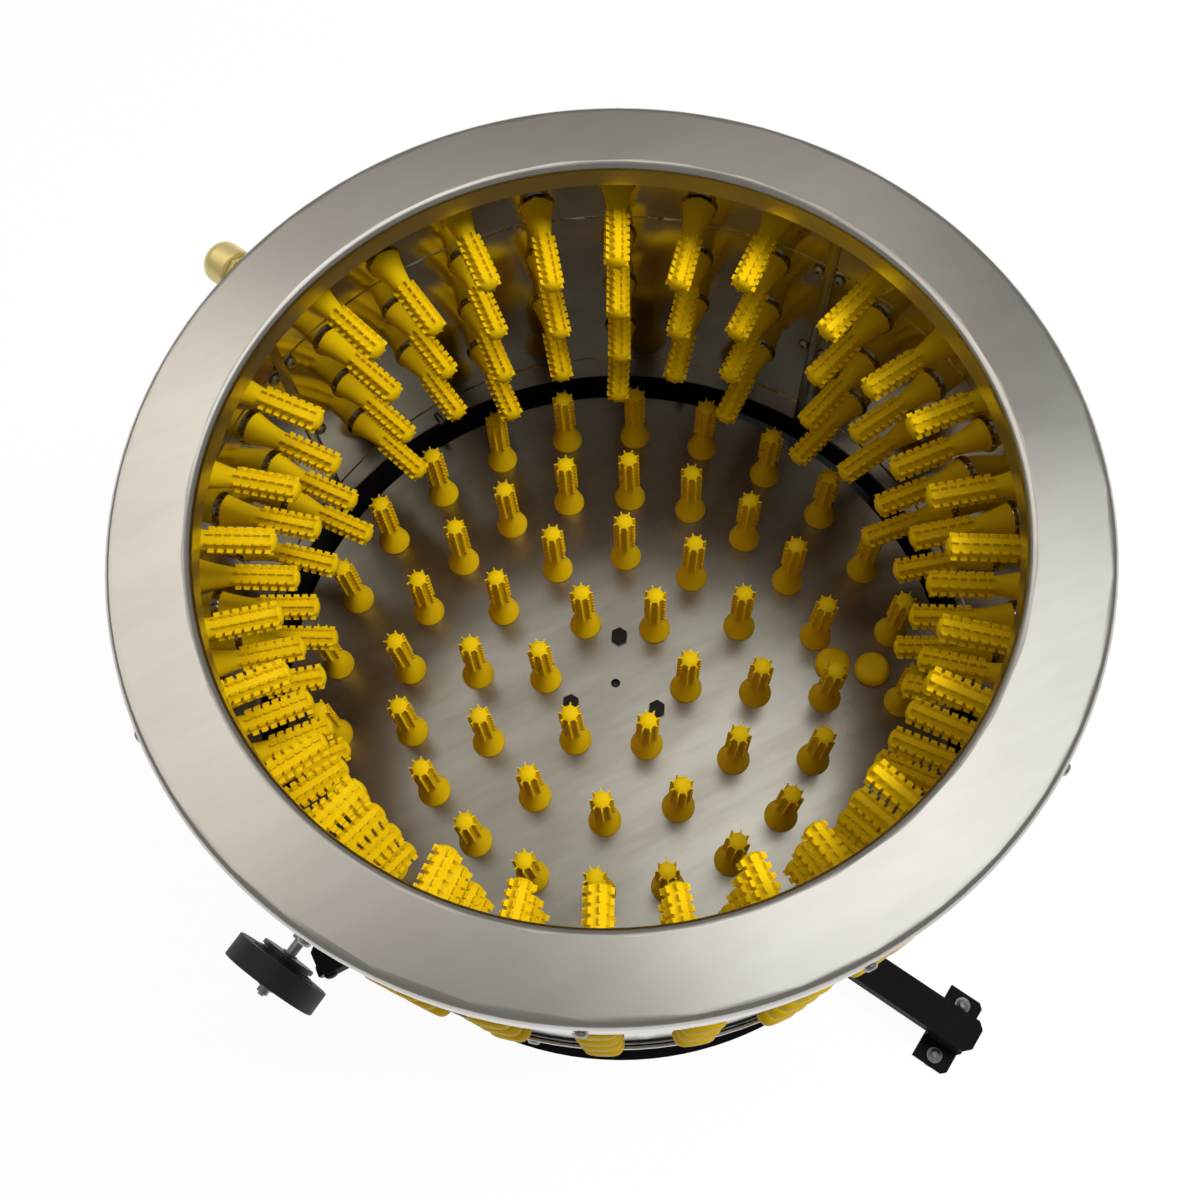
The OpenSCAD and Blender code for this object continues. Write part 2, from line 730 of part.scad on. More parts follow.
module plate_bolts() color(BLACK)
    each_plate_bolt(plate_z) {
        hex_bolt(m8, plate_t + plate_hub_t + m8);
        translate([0, 0, -plate_t - plate_hub_t]) hex_nut(m8);
    }

// Three-lobed flange under the plate, with a boss around the shaft
module plate_hub() color(ZINC)
    difference() {
        union() {
            on_axis() translate([0, 0, plate_low_z - plate_hub_t])
                cylinder(h = plate_hub_t, r = plate_hub_disc_r);
            each_plate_bolt(plate_low_z - plate_hub_t) cylinder(h = plate_hub_t, r = plate_hub_lobe_r);
            on_axis() translate([0, 0, plate_low_z - plate_hub_t - plate_hub_boss_h])
                cylinder(h = plate_hub_boss_h + 1, r = plate_hub_boss_r);
        }
        on_axis() translate([0, 0, shaft_low_z])
            cylinder(h = plate_z - shaft_low_z, r = shaft_d / 2 + running);
        each_plate_bolt(plate_low_z - plate_hub_t - 1)
            cylinder(h = plate_hub_t + 2, r = m8 / 2 + screw_clear);
    }

// Shaft with a centre hole below the plate's own
module main_shaft() color(ZINC)
    difference() {
        on_axis() translate([0, 0, shaft_low_z]) cylinder(h = plate_low_z - shaft_low_z, d = shaft_d);
        on_axis() translate([0, 0, plate_low_z - shaft_hole_depth])
            cylinder(h = shaft_hole_depth + 1, r = plate_hole_r);
    }

// Section of a flat-belt pulley: belt seat between two lips, web and hub
function pulley_section(seat_r, bore_r, hub_r, web_t) =
    let (lip_r = seat_r + pulley_lip, rim_t = 8, mid = pulley_w / 2, rim_r0 = max(seat_r - rim_t, hub_r))
    [[bore_r, 0], [hub_r, 0], [hub_r, mid - web_t / 2], [rim_r0, mid - web_t / 2], [rim_r0, 0], [lip_r, 0],
        [lip_r, pulley_lip_t], [seat_r, pulley_lip_t], [seat_r, pulley_w - pulley_lip_t],
        [lip_r, pulley_w - pulley_lip_t], [lip_r, pulley_w], [rim_r0, pulley_w], [rim_r0, mid + web_t / 2],
        [hub_r, mid + web_t / 2], [hub_r, pulley_w], [bore_r, pulley_w]];

module shaft_pulley() color(ZINC)
    difference() {
        on_axis() translate([0, 0, pulley_z]) rotate_extrude()
            polygon(pulley_section(big_pulley_r, shaft_d / 2 + running, pulley_hub_r, 8));
        for (i = [0 : 4])
            on_axis(72 * i) translate([(big_pulley_r + pulley_hub_r) / 2 - 4, 0, pulley_z - 1])
                cylinder(h = pulley_w + 2, r = 26);
    }

// Motor pulley: the belt seat is cut from one round piece
module motor_pulley() color(ZINC)
    on_axis() translate([0, motor_offset, pulley_z]) rotate_extrude() polygon([
        [motor_shaft_d / 2 + running, 0], [small_pulley_r + pulley_lip, 0],
        [small_pulley_r + pulley_lip, pulley_lip_t], [small_pulley_r, pulley_lip_t],
        [small_pulley_r, pulley_w - pulley_lip_t], [small_pulley_r + pulley_lip, pulley_w - pulley_lip_t],
        [small_pulley_r + pulley_lip, pulley_w], [motor_shaft_d / 2 + running, pulley_w]]);

// Area inside a belt that runs around both pulleys, at a distance over their seats
module belt_loop(over) {
    r1 = big_pulley_r + over;
    r2 = small_pulley_r + over;
    lean = asin((r1 - r2) / motor_offset);
    circle(r = r1);
    translate([0, motor_offset]) circle(r = r2);
    polygon([
        [-r1 * cos(lean), r1 * sin(lean)], [r1 * cos(lean), r1 * sin(lean)],
        [r2 * cos(lean), motor_offset + r2 * sin(lean)], [-r2 * cos(lean), motor_offset + r2 * sin(lean)]]);
}

module drive_belt() color(RUBBER)
    on_axis() translate([0, 0, belt_z]) linear_extrude(belt_w) difference() {
        belt_loop(belt_gap + belt_t);
        belt_loop(belt_gap);
    }

module each_bearing_bolt(z)
    for (turn = [45 : 90 : 315])
        on_axis(turn) translate([bearing_bolt_r, 0, z]) children();

// Flange bearing that hangs below z
module flange_bearing(z)
    difference() {
        on_axis() union() {
            translate([0, 0, z - bearing_flange_t]) cylinder(h = bearing_flange_t, r = bearing_r);
            translate([0, 0, z - bearing_flange_t - bearing_boss_h])
                cylinder(h = bearing_boss_h + 1, r = bearing_boss_r);
        }
        on_axis() translate([0, 0, z - bearing_flange_t - bearing_boss_h - 1])
            cylinder(h = bearing_flange_t + bearing_boss_h + 2, r = shaft_d / 2 + running);
        each_bearing_bolt(z - bearing_flange_t - 1)
            cylinder(h = bearing_flange_t + 2, r = m8 / 2 + screw_clear);
    }

module upper_bearing() color(ZINC) flange_bearing(floor_low_z);

module lower_bearing() color(ZINC) flange_bearing(drive_low_z);

module each_motor_bolt(z)
    for (turn = [45 : 90 : 315])
        on_axis() translate([0, motor_offset, z]) rotate([0, 0, turn])
            translate([motor_bolt_r, 0, 0]) children();

module drive_plate() color(BLACK)
    difference() {
        on_axis() translate([-drive_half_x, -drive_front_y, drive_low_z])
            cube([2 * drive_half_x, drive_front_y + drive_back_y, drive_plate_t]);
        on_axis() translate([0, 0, drive_low_z - 1]) cylinder(h = drive_plate_t + 2, r = shaft_d / 2 + 3);
        on_axis() translate([0, motor_offset, drive_low_z - 1])
            cylinder(h = drive_plate_t + 2, r = motor_shaft_d / 2 + 12);
        for (p = stand_places)
            on_axis() translate([p[0], p[1], drive_low_z - 1])
                cylinder(h = drive_plate_t + 2, r = m10 / 2 + screw_clear);
        each_bearing_bolt(drive_low_z - 1) cylinder(h = drive_plate_t + 2, r = m8 / 2 + screw_clear);
        each_motor_bolt(drive_low_z - 1) cylinder(h = drive_plate_t + 2, r = m8 / 2 + screw_clear);
    }

module standoffs() color(ZINC)
    for (p = stand_places)
        on_axis() translate([p[0], p[1], drive_top_z]) difference() {
            cylinder(h = drive_space, r = stand_r);
            translate([0, 0, -1]) cylinder(h = drive_space + 2, r = m10 / 2 + screw_clear);
        }

module drive_bolts() color(ZINC) {
    for (p = stand_places)
        on_axis() translate([p[0], p[1], floor_z]) bolt_and_nut(m10, floor_t + drive_space + drive_plate_t);
    each_bearing_bolt(floor_z) bolt_and_nut(m8, floor_t + bearing_flange_t);
    each_bearing_bolt(drive_top_z) bolt_and_nut(m8, drive_plate_t + bearing_flange_t);
    each_motor_bolt(drive_top_z) bolt_and_nut(m8, drive_plate_t + motor_flange_t);
}

// Finned motor body with a mounting flange on top
module motor_housing() color(ZINC)
    difference() {
        on_axis() translate([0, motor_offset, 0]) union() {
            translate([0, 0, motor_low_z]) cylinder(h = motor_l, r = motor_neck_r);
            translate([0, 0, motor_top_z - motor_flange_t]) cylinder(h = motor_flange_t, r = motor_r);
            translate([0, 0, motor_low_z])
                cylinder(h = motor_l - motor_flange_t - motor_neck_h, r = motor_core_r);
            for (i = [0 : motor_fins_n - 1])
                rotate([0, 0, 360 * i / motor_fins_n])
                    translate([motor_core_r - 2, -motor_fin_t / 2, motor_low_z])
                        cube([motor_r - motor_core_r + 2, motor_fin_t,
                            motor_l - motor_flange_t - motor_neck_h - motor_fin_gap]);
        }
        on_axis() translate([0, motor_offset, motor_top_z - motor_bore_depth])
            cylinder(h = motor_bore_depth + 1, r = motor_shaft_d / 2 + running);
        each_motor_bolt(motor_top_z - motor_flange_t - 1)
            cylinder(h = motor_flange_t + 2, r = m8 / 2 + screw_clear);
    }

// Fan cover under the motor, with a ring of air slots
module motor_cover() color(BLACK)
    on_axis() translate([0, motor_offset, motor_low_z - motor_cover_h]) difference() {
        cylinder(h = motor_cover_h, r = motor_cover_r);
        translate([0, 0, motor_cover_t]) cylinder(h = motor_cover_h, r = motor_cover_r - motor_cover_t);
        for (i = [0 : cover_slots_n - 1])
            rotate([0, 0, 360 * i / cover_slots_n]) translate([cover_slot_from, -cover_slot_w / 2, -1])
                cube([cover_slot_l, cover_slot_w, motor_cover_t + 2]);
    }

module terminal_box() color(BLACK)
    on_axis()
        translate([motor_r + seat, motor_offset - terminal_box_w / 2, motor_low_z + terminal_box_rise])
            difference() {
                cube([terminal_box_t, terminal_box_w, terminal_box_h]);
                translate([terminal_box_t / 2, terminal_box_w / 2, -1])
                    cylinder(h = terminal_hole_l, r = terminal_hole_r);
            }

module motor_shaft() color(ZINC)
    on_axis() translate([0, motor_offset, motor_top_z - motor_shaft_depth])
        cylinder(h = pulley_z + pulley_w + 3 - motor_top_z + motor_shaft_depth, d = motor_shaft_d);

// Children lie in a frame whose X axis points outwards from the tub and whose origin is the box's middle
module at_switch() on_axis(switch_turn) translate([switch_at, 0, switch_mid_z]) children();

module each_lid_screw()
    for (y = [-1, 1])
        for (z = [-1, 1])
            at_switch() translate([0, y * (switch_w / 2 - 7), z * (switch_h / 2 - 7)])
                rotate([0, 90, 0]) children();

module switch_box() color(BLACK)
    difference() {
        at_switch() translate([0, -switch_w / 2, -switch_h / 2]) cube([switch_t, switch_w, switch_h]);
        difference() {
            at_switch() translate([switch_wall, -switch_w / 2 + switch_wall, -switch_h / 2 + switch_wall])
                cube([switch_t, switch_w - 2 * switch_wall, switch_h - 2 * switch_wall]);
            each_lid_screw() cylinder(h = switch_t, r = 6);
        }
        each_lid_screw() translate([0, 0, switch_t - 20]) cylinder(h = 30, r = m5 / 2 + screw_clear);
        at_switch() translate([switch_t / 2, 0, -switch_h / 2 - 1])
            cylinder(h = switch_wall + 2, r = gland_r - 2 + screw_clear);
    }

module switch_lid() color("#8f9396")
    difference() {
        at_switch() translate([switch_t, -switch_w / 2, -switch_h / 2]) cube([lid_t, switch_w, switch_h]);
        for (z = [start_z, stop_z])
            on_axis(switch_turn) translate([lid_at - 1, 0, z]) rotate([0, 90, 0])
                cylinder(h = lid_t + 2, r = button_r + free_gap);
        each_lid_screw() translate([0, 0, switch_t - 1]) cylinder(h = lid_t + 2, r = m5 / 2 + screw_clear);
    }

module switch_screws() color(ZINC)
    each_lid_screw() translate([0, 0, switch_t + lid_t]) button_screw(m5, lid_t + 16);

// Push button: a cap through the lid, with a collar behind it
module push_button(z)
    outwards(switch_turn, lid_at, z) {
        translate([0, 0, -button_stem]) cylinder(h = button_stem + lid_t + button_out, r = button_r);
        translate([0, 0, -free_gap - 4]) cylinder(h = 4, r = button_r + 3);
    }

module start_button() color("#2f8f46") push_button(start_z);

module stop_button() color("#b8241f") push_button(stop_z);

// Nut, washer and thread of the cable inlet under the box
module cable_gland() color(BLACK)
    at_switch() translate([switch_t / 2, 0, -switch_h / 2]) difference() {
        union() {
            translate([0, 0, -10]) cylinder(h = 10, r = gland_r, $fn = 6);
            translate([0, 0, -gland_l]) cylinder(h = gland_l, r = gland_r - 2);
            translate([0, 0, -1]) cylinder(h = switch_wall + 8, r = gland_r - 2);
        }
        translate([0, 0, -gland_l - 1]) cylinder(h = gland_l + switch_wall + 12, r = gland_bore_r);
    }

// A channel bar that lies along +X, open below, with its far corners cut off
module arm_bar(end, chamfer)
    difference() {
        half = bar_w / 2;
        translate([0, 0, arm_z]) linear_extrude(arm_h) polygon(concat(
            [[end, chamfer - half], [end, half - chamfer]],
            [[end - chamfer, half], [arm_start, half], [arm_start, -half], [end - chamfer, -half]]));
        translate([arm_start - 1, bar_wall - half, arm_z - bar_wall])
            cube([end, bar_w - 2 * bar_wall, arm_h]);
    }

module front_arm() color(BLACK) on_axis(-90) arm_bar(arm_front_l, arm_chamfer);

module rear_arms() color(BLACK)
    for (turn = [rear_turn, 180 - rear_turn]) on_axis(turn) arm_bar(arm_rear_l, arm_chamfer);

module hub_plate() color(BLACK)
    on_axis() translate([0, 0, arm_top_z]) cylinder(h = hub_plate_t, r = hub_plate_r);

module each_leg_bolt(z)
    for (turn = arm_turns)
        for (side = [-1, 1])
            on_axis(turn) translate([post_at, side * post_bolt_half, z]) children();

// Square posts on the arms, each with a pad under the tub's floor
module leg_posts() color(BLACK)
    difference() {
        pad_z = floor_low_z - post_pad_t;
        for (turn = arm_turns)
            on_axis(turn) translate([post_at, 0, arm_top_z]) {
                difference() {
                    translate([-bar_w / 2, -bar_w / 2, 0]) cube([bar_w, bar_w, pad_z - arm_top_z + 1]);
                    translate([-bar_w / 2 + bar_wall, -bar_w / 2 + bar_wall, -1])
                        cube([bar_w - 2 * bar_wall, bar_w - 2 * bar_wall, pad_z - arm_top_z + 1]);
                }
                translate([-bar_w / 2, -post_pad_w / 2, pad_z - arm_top_z])
                    cube([bar_w, post_pad_w, post_pad_t]);
            }
        each_leg_bolt(pad_z - 1) cylinder(h = post_pad_t + 2, r = m8 / 2 + screw_clear);
    }

module leg_bolts() color(ZINC) each_leg_bolt(floor_z) bolt_and_nut(m8, floor_t + post_pad_t);

module each_foot(z)
    for (side = [-1, 1])
        on_axis() translate([side * foot_spread / 2, foot_y, z]) children();

// Outline of the two foot tabs and what lies between them, with cut front corners
function foot_outline() =
    let (x = foot_plate_w / 2, front = -foot_plate_l / 2, back = foot_plate_l / 2)
    [[-x, back], [-x, front + foot_corner], [-x + foot_corner, front],
        [x - foot_corner, front], [x, front + foot_corner], [x, back]];

// Hat section under the front arm: a web, two sides and two tabs on the floor pads
module foot_plate() color(BLACK)
    difference() {
        on_axis() translate([0, foot_y, foot_h]) difference() {
            union() {
                linear_extrude(foot_plate_t) polygon(foot_outline());
                translate([-bar_w / 2, -foot_plate_l / 2, 0]) cube([bar_w, foot_plate_l, arm_z - foot_h]);
            }
            translate([-bar_w / 2 + foot_plate_t, -foot_plate_l, -1])
                cube([bar_w - 2 * foot_plate_t, 2 * foot_plate_l, arm_z - foot_h - foot_plate_t + 1]);
        }
        each_foot(foot_h - 1) cylinder(h = foot_plate_t + 2, r = m8 / 2 + screw_clear);
    }

module foot_bolts() color(ZINC)
    each_foot(foot_h + foot_plate_t) {
        difference() {
            cylinder(h = washer_t, r = m8 * 1.1);
            translate([0, 0, -1]) cylinder(h = washer_t + 2, r = m8 / 2 + 0.05);
        }
        translate([0, 0, washer_t + stack_gap]) button_screw(m8, washer_t + foot_plate_t + foot_h * 0.6);
    }

module rubber_feet() color(RUBBER)
    each_foot(0) difference() {
        cylinder(h = foot_h, r1 = foot_r, r2 = foot_r - 1);
        translate([0, 0, foot_h * 0.3]) cylinder(h = foot_h, r = m8 / 2 + screw_clear);
    }

// Children's Z axis runs along the axle, outwards to one side
module along_axle(side, x)
    on_axis() translate([side * x, axle_y, axle_z]) rotate([0, side * 90, 0]) children();

// Side view of an axle lug: an eye around the axle over a foot beside the arm
module lug_outline() {
    translate([axle_y, axle_z]) circle(r = lug_r);
    translate([axle_y - lug_front, arm_z]) square([lug_front + lug_r, axle_z - arm_z]);
}

// Axle lugs, cut to the rear sides of the arms
module axle_lugs() color(BLACK)
    for (side = [-1, 1])
        difference() {
            on_axis() translate([side * (lug_x - lug_t / 2) - lug_t / 2, 0, 0])
                rotate([90, 0, 90]) linear_extrude(lug_t) lug_outline();
            on_axis(90 - side * (90 - rear_turn)) translate([arm_start, -bar_w / 2, 0])
                cube([arm_rear_l, bar_w, rim_top_z]);
            along_axle(side, lug_x - lug_t - 1) cylinder(h = lug_t + 2, r = axle_r + screw_clear);
        }

// Axle with a thin threaded end on each side
module axle() color(ZINC) {
    along_axle(1, -axle_shoulder_x) cylinder(h = 2 * axle_shoulder_x, r = axle_r);
    along_axle(1, -axle_end_x) cylinder(h = 2 * axle_end_x, r = axle_end_r);
}

module axle_ring(side, x, h, r, hole_r, sides = $fn)
    along_axle(side, x) difference() {
        cylinder(h = h, r = r, $fn = sides);
        translate([0, 0, -1]) cylinder(h = h + 2, r = hole_r + 0.1);
    }

module axle_nuts() color(ZINC)
    for (side = [-1, 1]) {
        axle_ring(side, lug_x, lug_nut_t, lug_nut_r, axle_r, 6);
        axle_ring(side, hub_in_x - free_gap - axle_washer_t, axle_washer_t, axle_washer_r, axle_r);
        axle_ring(side, axle_shoulder_x + stack_gap, axle_washer_t, axle_washer_r, axle_end_r);
        axle_ring(side, axle_nut_x, axle_nut_t, axle_nut_r, axle_end_r, 6);
    }

// Wheel centre: an inner flange, a barrel on the axle, a web and a rim for the tyre
module wheel_hub(side) color(RUBBER) {
    bore = axle_r + running;
    rim_in = tyre_in_r - hub_rim_t;
    rim_from = tyre_at_x - hub_in_x + hub_rim_inset;
    rim_to = rim_from + tyre_w - 2 * hub_rim_inset;
    web_from = (rim_from + rim_to - hub_web_t) / 2;
    web_to = web_from + hub_web_t;
    along_axle(side, hub_in_x) rotate_extrude() polygon([
        [bore, 0], [hub_flange_r, 0], [hub_flange_r, hub_flange_t], [hub_r, hub_flange_t],
        [hub_r, web_from], [rim_in, web_from], [rim_in, rim_from], [tyre_in_r, rim_from],
        [tyre_in_r, rim_to], [rim_in, rim_to], [rim_in, web_to], [hub_r, web_to],
        [hub_r, hub_l], [bore, hub_l]]);
}

// Solid tyre with a flat tread and small chamfers
module wheel_tyre(side) color(RUBBER)
    along_axle(side, tyre_at_x) rotate_extrude() polygon([
        [tyre_in_r + 0.05, tyre_bead], [(tyre_in_r + wheel_d / 2) / 2, 0], [wheel_d / 2 - tread_chamfer, 0],
        [wheel_d / 2, tread_chamfer], [wheel_d / 2, tyre_w - tread_chamfer],
        [wheel_d / 2 - tread_chamfer, tyre_w], [(tyre_in_r + wheel_d / 2) / 2, tyre_w],
        [tyre_in_r + 0.05, tyre_w - tyre_bead]]);

rim_ring();
rim_screws();
rim_spacers();
spray_ring();
spray_clips();
hose_stem();
hose_nut();
hose_washer();
drum_panel(0);  // drum_panel_1
drum_panel(1);  // drum_panel_2
drum_panel(2);  // drum_panel_3
drum_panel(3);  // drum_panel_4
seam_straps();
seam_bolts();
wall_fingers(0);  // wall_fingers_1
wall_fingers(1);  // wall_fingers_2
wall_fingers(2);  // wall_fingers_3
wall_fingers(3);  // wall_fingers_4
base_tub();
feather_chute();
tub_screws();
feather_plate();
plate_fingers();
sweeper_fingers();
plate_bolts();
plate_hub();
main_shaft();
shaft_pulley();
upper_bearing();
lower_bearing();
drive_plate();
standoffs();
drive_bolts();
drive_belt();
motor_housing();
motor_cover();
terminal_box();
motor_shaft();
motor_pulley();
switch_box();
switch_lid();
switch_screws();
start_button();
stop_button();
cable_gland();
front_arm();
rear_arms();
hub_plate();
leg_posts();
leg_bolts();
foot_plate();
foot_bolts();
rubber_feet();
axle_lugs();
axle();
axle_nuts();
wheel_hub(-1);  // left_hub
wheel_tyre(-1);  // left_tyre
wheel_hub(1);  // right_hub
wheel_tyre(1);  // right_tyre
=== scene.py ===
"""Looks of a drum poultry plucker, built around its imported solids. Lengths are in metres."""
import json
import math
import random

import bmesh
import bpy
from mathutils import Matrix, Vector


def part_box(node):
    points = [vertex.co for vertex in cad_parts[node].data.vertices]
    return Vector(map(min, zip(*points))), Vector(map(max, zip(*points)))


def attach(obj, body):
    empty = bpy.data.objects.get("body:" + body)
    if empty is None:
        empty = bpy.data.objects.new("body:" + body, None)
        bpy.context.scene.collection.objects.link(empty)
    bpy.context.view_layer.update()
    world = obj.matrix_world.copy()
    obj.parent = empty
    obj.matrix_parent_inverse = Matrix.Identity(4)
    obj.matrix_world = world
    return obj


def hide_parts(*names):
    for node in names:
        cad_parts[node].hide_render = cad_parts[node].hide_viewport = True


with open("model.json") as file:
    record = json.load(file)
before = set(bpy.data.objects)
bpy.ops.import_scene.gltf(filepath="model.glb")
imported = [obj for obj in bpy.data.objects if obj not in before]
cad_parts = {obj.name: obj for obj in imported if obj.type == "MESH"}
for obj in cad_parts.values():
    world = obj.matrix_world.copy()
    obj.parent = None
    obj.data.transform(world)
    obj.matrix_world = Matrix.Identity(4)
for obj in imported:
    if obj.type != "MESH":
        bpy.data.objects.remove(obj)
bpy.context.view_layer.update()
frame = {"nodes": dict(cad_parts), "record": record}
solids = frame["nodes"]
slot_of = {row["node"]: row["material_slot"] for row in frame["record"]["subparts"]}
body_of = {
    node: body
    for body, members in frame["record"]["behaviour"]["bodies"].items()
    for node in members
}

# Places that the solids give
rim_low, rim_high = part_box("rim_ring")
RIM_TOP = rim_high.z
AXIS = Vector(((rim_low.x + rim_high.x) / 2, (rim_low.y + rim_high.y) / 2, 0))
PLATE_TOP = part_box("feather_plate")[1].z
PLATE_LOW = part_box("feather_plate")[0].z
PANELS = ["drum_panel_1", "drum_panel_2", "drum_panel_3", "drum_panel_4"]
WALL_FINGERS = ["wall_fingers_1", "wall_fingers_2", "wall_fingers_3", "wall_fingers_4"]
WALL_SHEET = 0.0015
WALL_BEAD = 0.001
WALL_R = max(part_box(panel)[1].x for panel in PANELS) - WALL_BEAD - WALL_SHEET
WALL_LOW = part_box("drum_panel_1")[0].z
SEAT = 0.0003

# Camera, from the middle of the rim's top
CAMERA_FROM_RIM = Vector((-0.2802, -0.2150, 0.7114))
VIEW_TURN = math.radians(39.70)
VIEW_FALL = math.radians(67.78)
VIEW_ROLL = math.radians(-5.415)
LENS = 39.0
SENSOR = 36
SHIFT = (0.0070, -0.0032)

# Rubber finger: its foot, its ribs and teeth, and the head behind the sheet
FINGER_L = 0.076
RIBS = 8
RIB_TOP_HALF = 0.00045
RIB_FOOT_HALF = 0.00065
RIB_R = 0.0096
RIDGE_R = 0.0069
CORE_R = 0.0068
BELL_R = 0.0131
PLATE_BELL_R = 0.0141
BELL_L = 0.031
BELL_HOLLOW = 1.4
BELL_EDGE = 0.0014
BELL_EDGE_IN = 0.4
BELL_HEIGHTS = (0.0010, 0.0022, 0.006, 0.012, 0.018, 0.024)
NECK_R = 0.0095
HEAD_R = 0.0150
HEAD_T = 0.0110
TEETH = 7
TEETH_FROM = 0.0308
TEETH_TO = 0.0733
TOOTH_SHARE = 0.64
TOOTH_SLOPE = 0.0002

# Depth and width of the rings of a finger's head, as shares of the head
HEAD_RINGS = [
    (1.0, 0.42), (0.97, 0.60), (0.88, 0.77), (0.72, 0.89),
    (0.50, 0.97), (0.25, 1.0), (0.05, 1.0), (0.0, 0.97),
]

# End of the last tooth and the rounded tip: widths as shares of the core, and how far below the end
TIP_EDGE = (1.02, 1.04)
TIP_RINGS = [(0.0014, 0.86), (0.0004, 0.55), (0.0, 0.2)]

# Chance in how the fingers stand
LEAN = math.radians(1.2)
WALL_SEED = 11
PLATE_SEED = 23

# Steel collar round the foot of a wall finger: radius and height of each corner of its section
COLLAR_SIDES = 20
COLLAR_SECTION = [
    (0.0147, -0.0008), (0.0142, 0.0006), (0.0139, 0.0022), (0.0136, 0.0029),
    (0.0131, 0.0031), (0.0127, 0.0028), (0.0125, 0.0020), (0.0128, -0.0008),
]

# Cover strip over each joint of the wall
COVER_W = 0.0088
COVER_T = 0.0012
COVER_FROM_RIM = 0.024
COVER_FROM_FOOT = 0.002
COVER_EDGE = 0.0005

# Bands round the wall: inner and outer side from its outside, lower and upper edge from its foot
# The black band is painted shade: a dark strip on the wall's outside above the hoop
SHADE_BAND = (0.0001, 0.0014, 0.042, 0.056)
HOOP = (0.0022, 0.0042, 0.0210, 0.0300)
BAND_SIDES = 120

# Button screw, in shares of its thread: radius and height of each ring of its head and socket
SCREW_SIDES = 24
SHANK_R = 0.48
SHANK_END_R = 0.42
SHANK_CHAMFER = 0.1
HEAD_SHARE = 0.55
HEAD_WIDTH = 1.70
HEAD_STEPS = [(0.83, 0), (0.86, 0.08), (0.81, 0.28), (0.67, 0.44), (0.52, 0.52), (0.40, HEAD_SHARE)]
SOCKET_STEPS = [(0.31, HEAD_SHARE), (0.29, 0.22)]
WASHER_EDGE = 0.0003

# Tyres, and the shoulders of the hubs: radius of each ring and its height as a share of the depth
TYRE_DEPTH = 0.018
TYRE_EDGE = 0.0008
TYRE_SIDES = 96
FLANGE_T = 0.005
SHOULDER_LAP = 0.001
SHOULDER_SIDES = 72
SHOULDER_STEPS = [
    (0.0250, 0.0), (0.0310, 0.0), (0.0310, 0.4), (0.0370, 0.5), (0.0370, 1.0), (0.0250, 1.0),
]

# Bolt on a bush at the end of each rear arm: its place, and radius and height of each ring
REAR_TURN = math.radians(30)
ARM_BOLT_AT = 0.385
ARM_BOLT_Z = 0.044
ARM_HALF_W = 0.019
ARM_BOLT_STEPS = [
    (0.0140, -0.002), (0.0145, 0.0), (0.0145, 0.0095), (0.0130, 0.0110), (0.0080, 0.0110),
    (0.0082, 0.0118), (0.0074, 0.0144), (0.0058, 0.0160), (0.0040, 0.0166),
]
ARM_SOCKET_STEPS = [(0.0030, 0.0166), (0.0028, 0.0128)]

# Black plug in the shaft's hole, painted shade that darkens the hole: radius and height of each ring
SHADE_PLUG_STEPS = [(0.0034, -0.005), (0.0038, -0.0045), (0.0038, -0.0006), (0.0033, 0), (0.0022, -0.0006)]
SHADE_PLUG_SINK = 0.0004

# Edges, in degrees: sharper ones than a crease stay sharp, and the flattest are dissolved
FINGER_CREASE = 48
TURNED_CREASE = 40
SOLID_CREASE = 35
BEVEL_FROM = 40
FLAT_BELOW = 1

# Where corners of a solid merge, and which faces of the wall take the shade of one round
MERGE_AT = 0.00001
SLOPED_FACE = 0.05
ROUND_FACE = 0.98

# First circle and first step of a piece that is drawn out. Each ring then gets its own place
START_R = 0.01
NUDGE = (0, 0, 0.001)

# Marks on metal
WIPE_TURN = math.radians(28)
METAL_RELIEF = 0.00003

# Floor
FLOOR_SIZE = 40
FLOOR_Z = -0.0005
FLOOR_WHITE = 0.9
FLOOR_GLOW = 1.035
FLOOR_GLOW_SHARE = 0.92


# Camera and light

def add_camera():
    """Looks down into the drum from the near side."""
    level_right = Vector((math.sin(VIEW_TURN), -math.cos(VIEW_TURN), 0))
    ahead = Vector((
        math.cos(VIEW_TURN) * math.cos(VIEW_FALL),
        math.sin(VIEW_TURN) * math.cos(VIEW_FALL),
        -math.sin(VIEW_FALL),
    ))
    level_up = level_right.cross(ahead)
    right = level_right * math.cos(VIEW_ROLL) + level_up * math.sin(VIEW_ROLL)
    up = right.cross(ahead)
    turn = Matrix((right, up, -ahead)).transposed().to_4x4()
    bpy.ops.object.camera_add()
    camera = bpy.context.object
    camera.name = "camera"
    camera.matrix_world = Matrix.Translation(AXIS + Vector((0, 0, RIM_TOP)) + CAMERA_FROM_RIM) @ turn
    camera.data.lens = LENS
    camera.data.sensor_width = SENSOR
    camera.data.shift_x, camera.data.shift_y = SHIFT
    bpy.context.scene.camera = camera


def add_softbox(name, turn, rise, distance, size, glow, tint, in_metal=True):
    """A square lamp that faces the middle of the rim, given by its direction and its brightness."""
    turn, rise = math.radians(turn), math.radians(rise)
    away = Vector((math.cos(turn) * math.cos(rise), math.sin(turn) * math.cos(rise), math.sin(rise)))
    bpy.ops.object.light_add(type="AREA", location=AXIS + Vector((0, 0, RIM_TOP)) + away * distance)
    lamp = bpy.context.object
    lamp.name = name
    lamp.data.shape = "SQUARE"
    lamp.data.size = size
    lamp.data.energy = glow * math.pi * size ** 2
    lamp.data.color = tint
    lamp.rotation_euler = away.to_track_quat("Z", "Y").to_euler()
    lamp.visible_glossy = in_metal


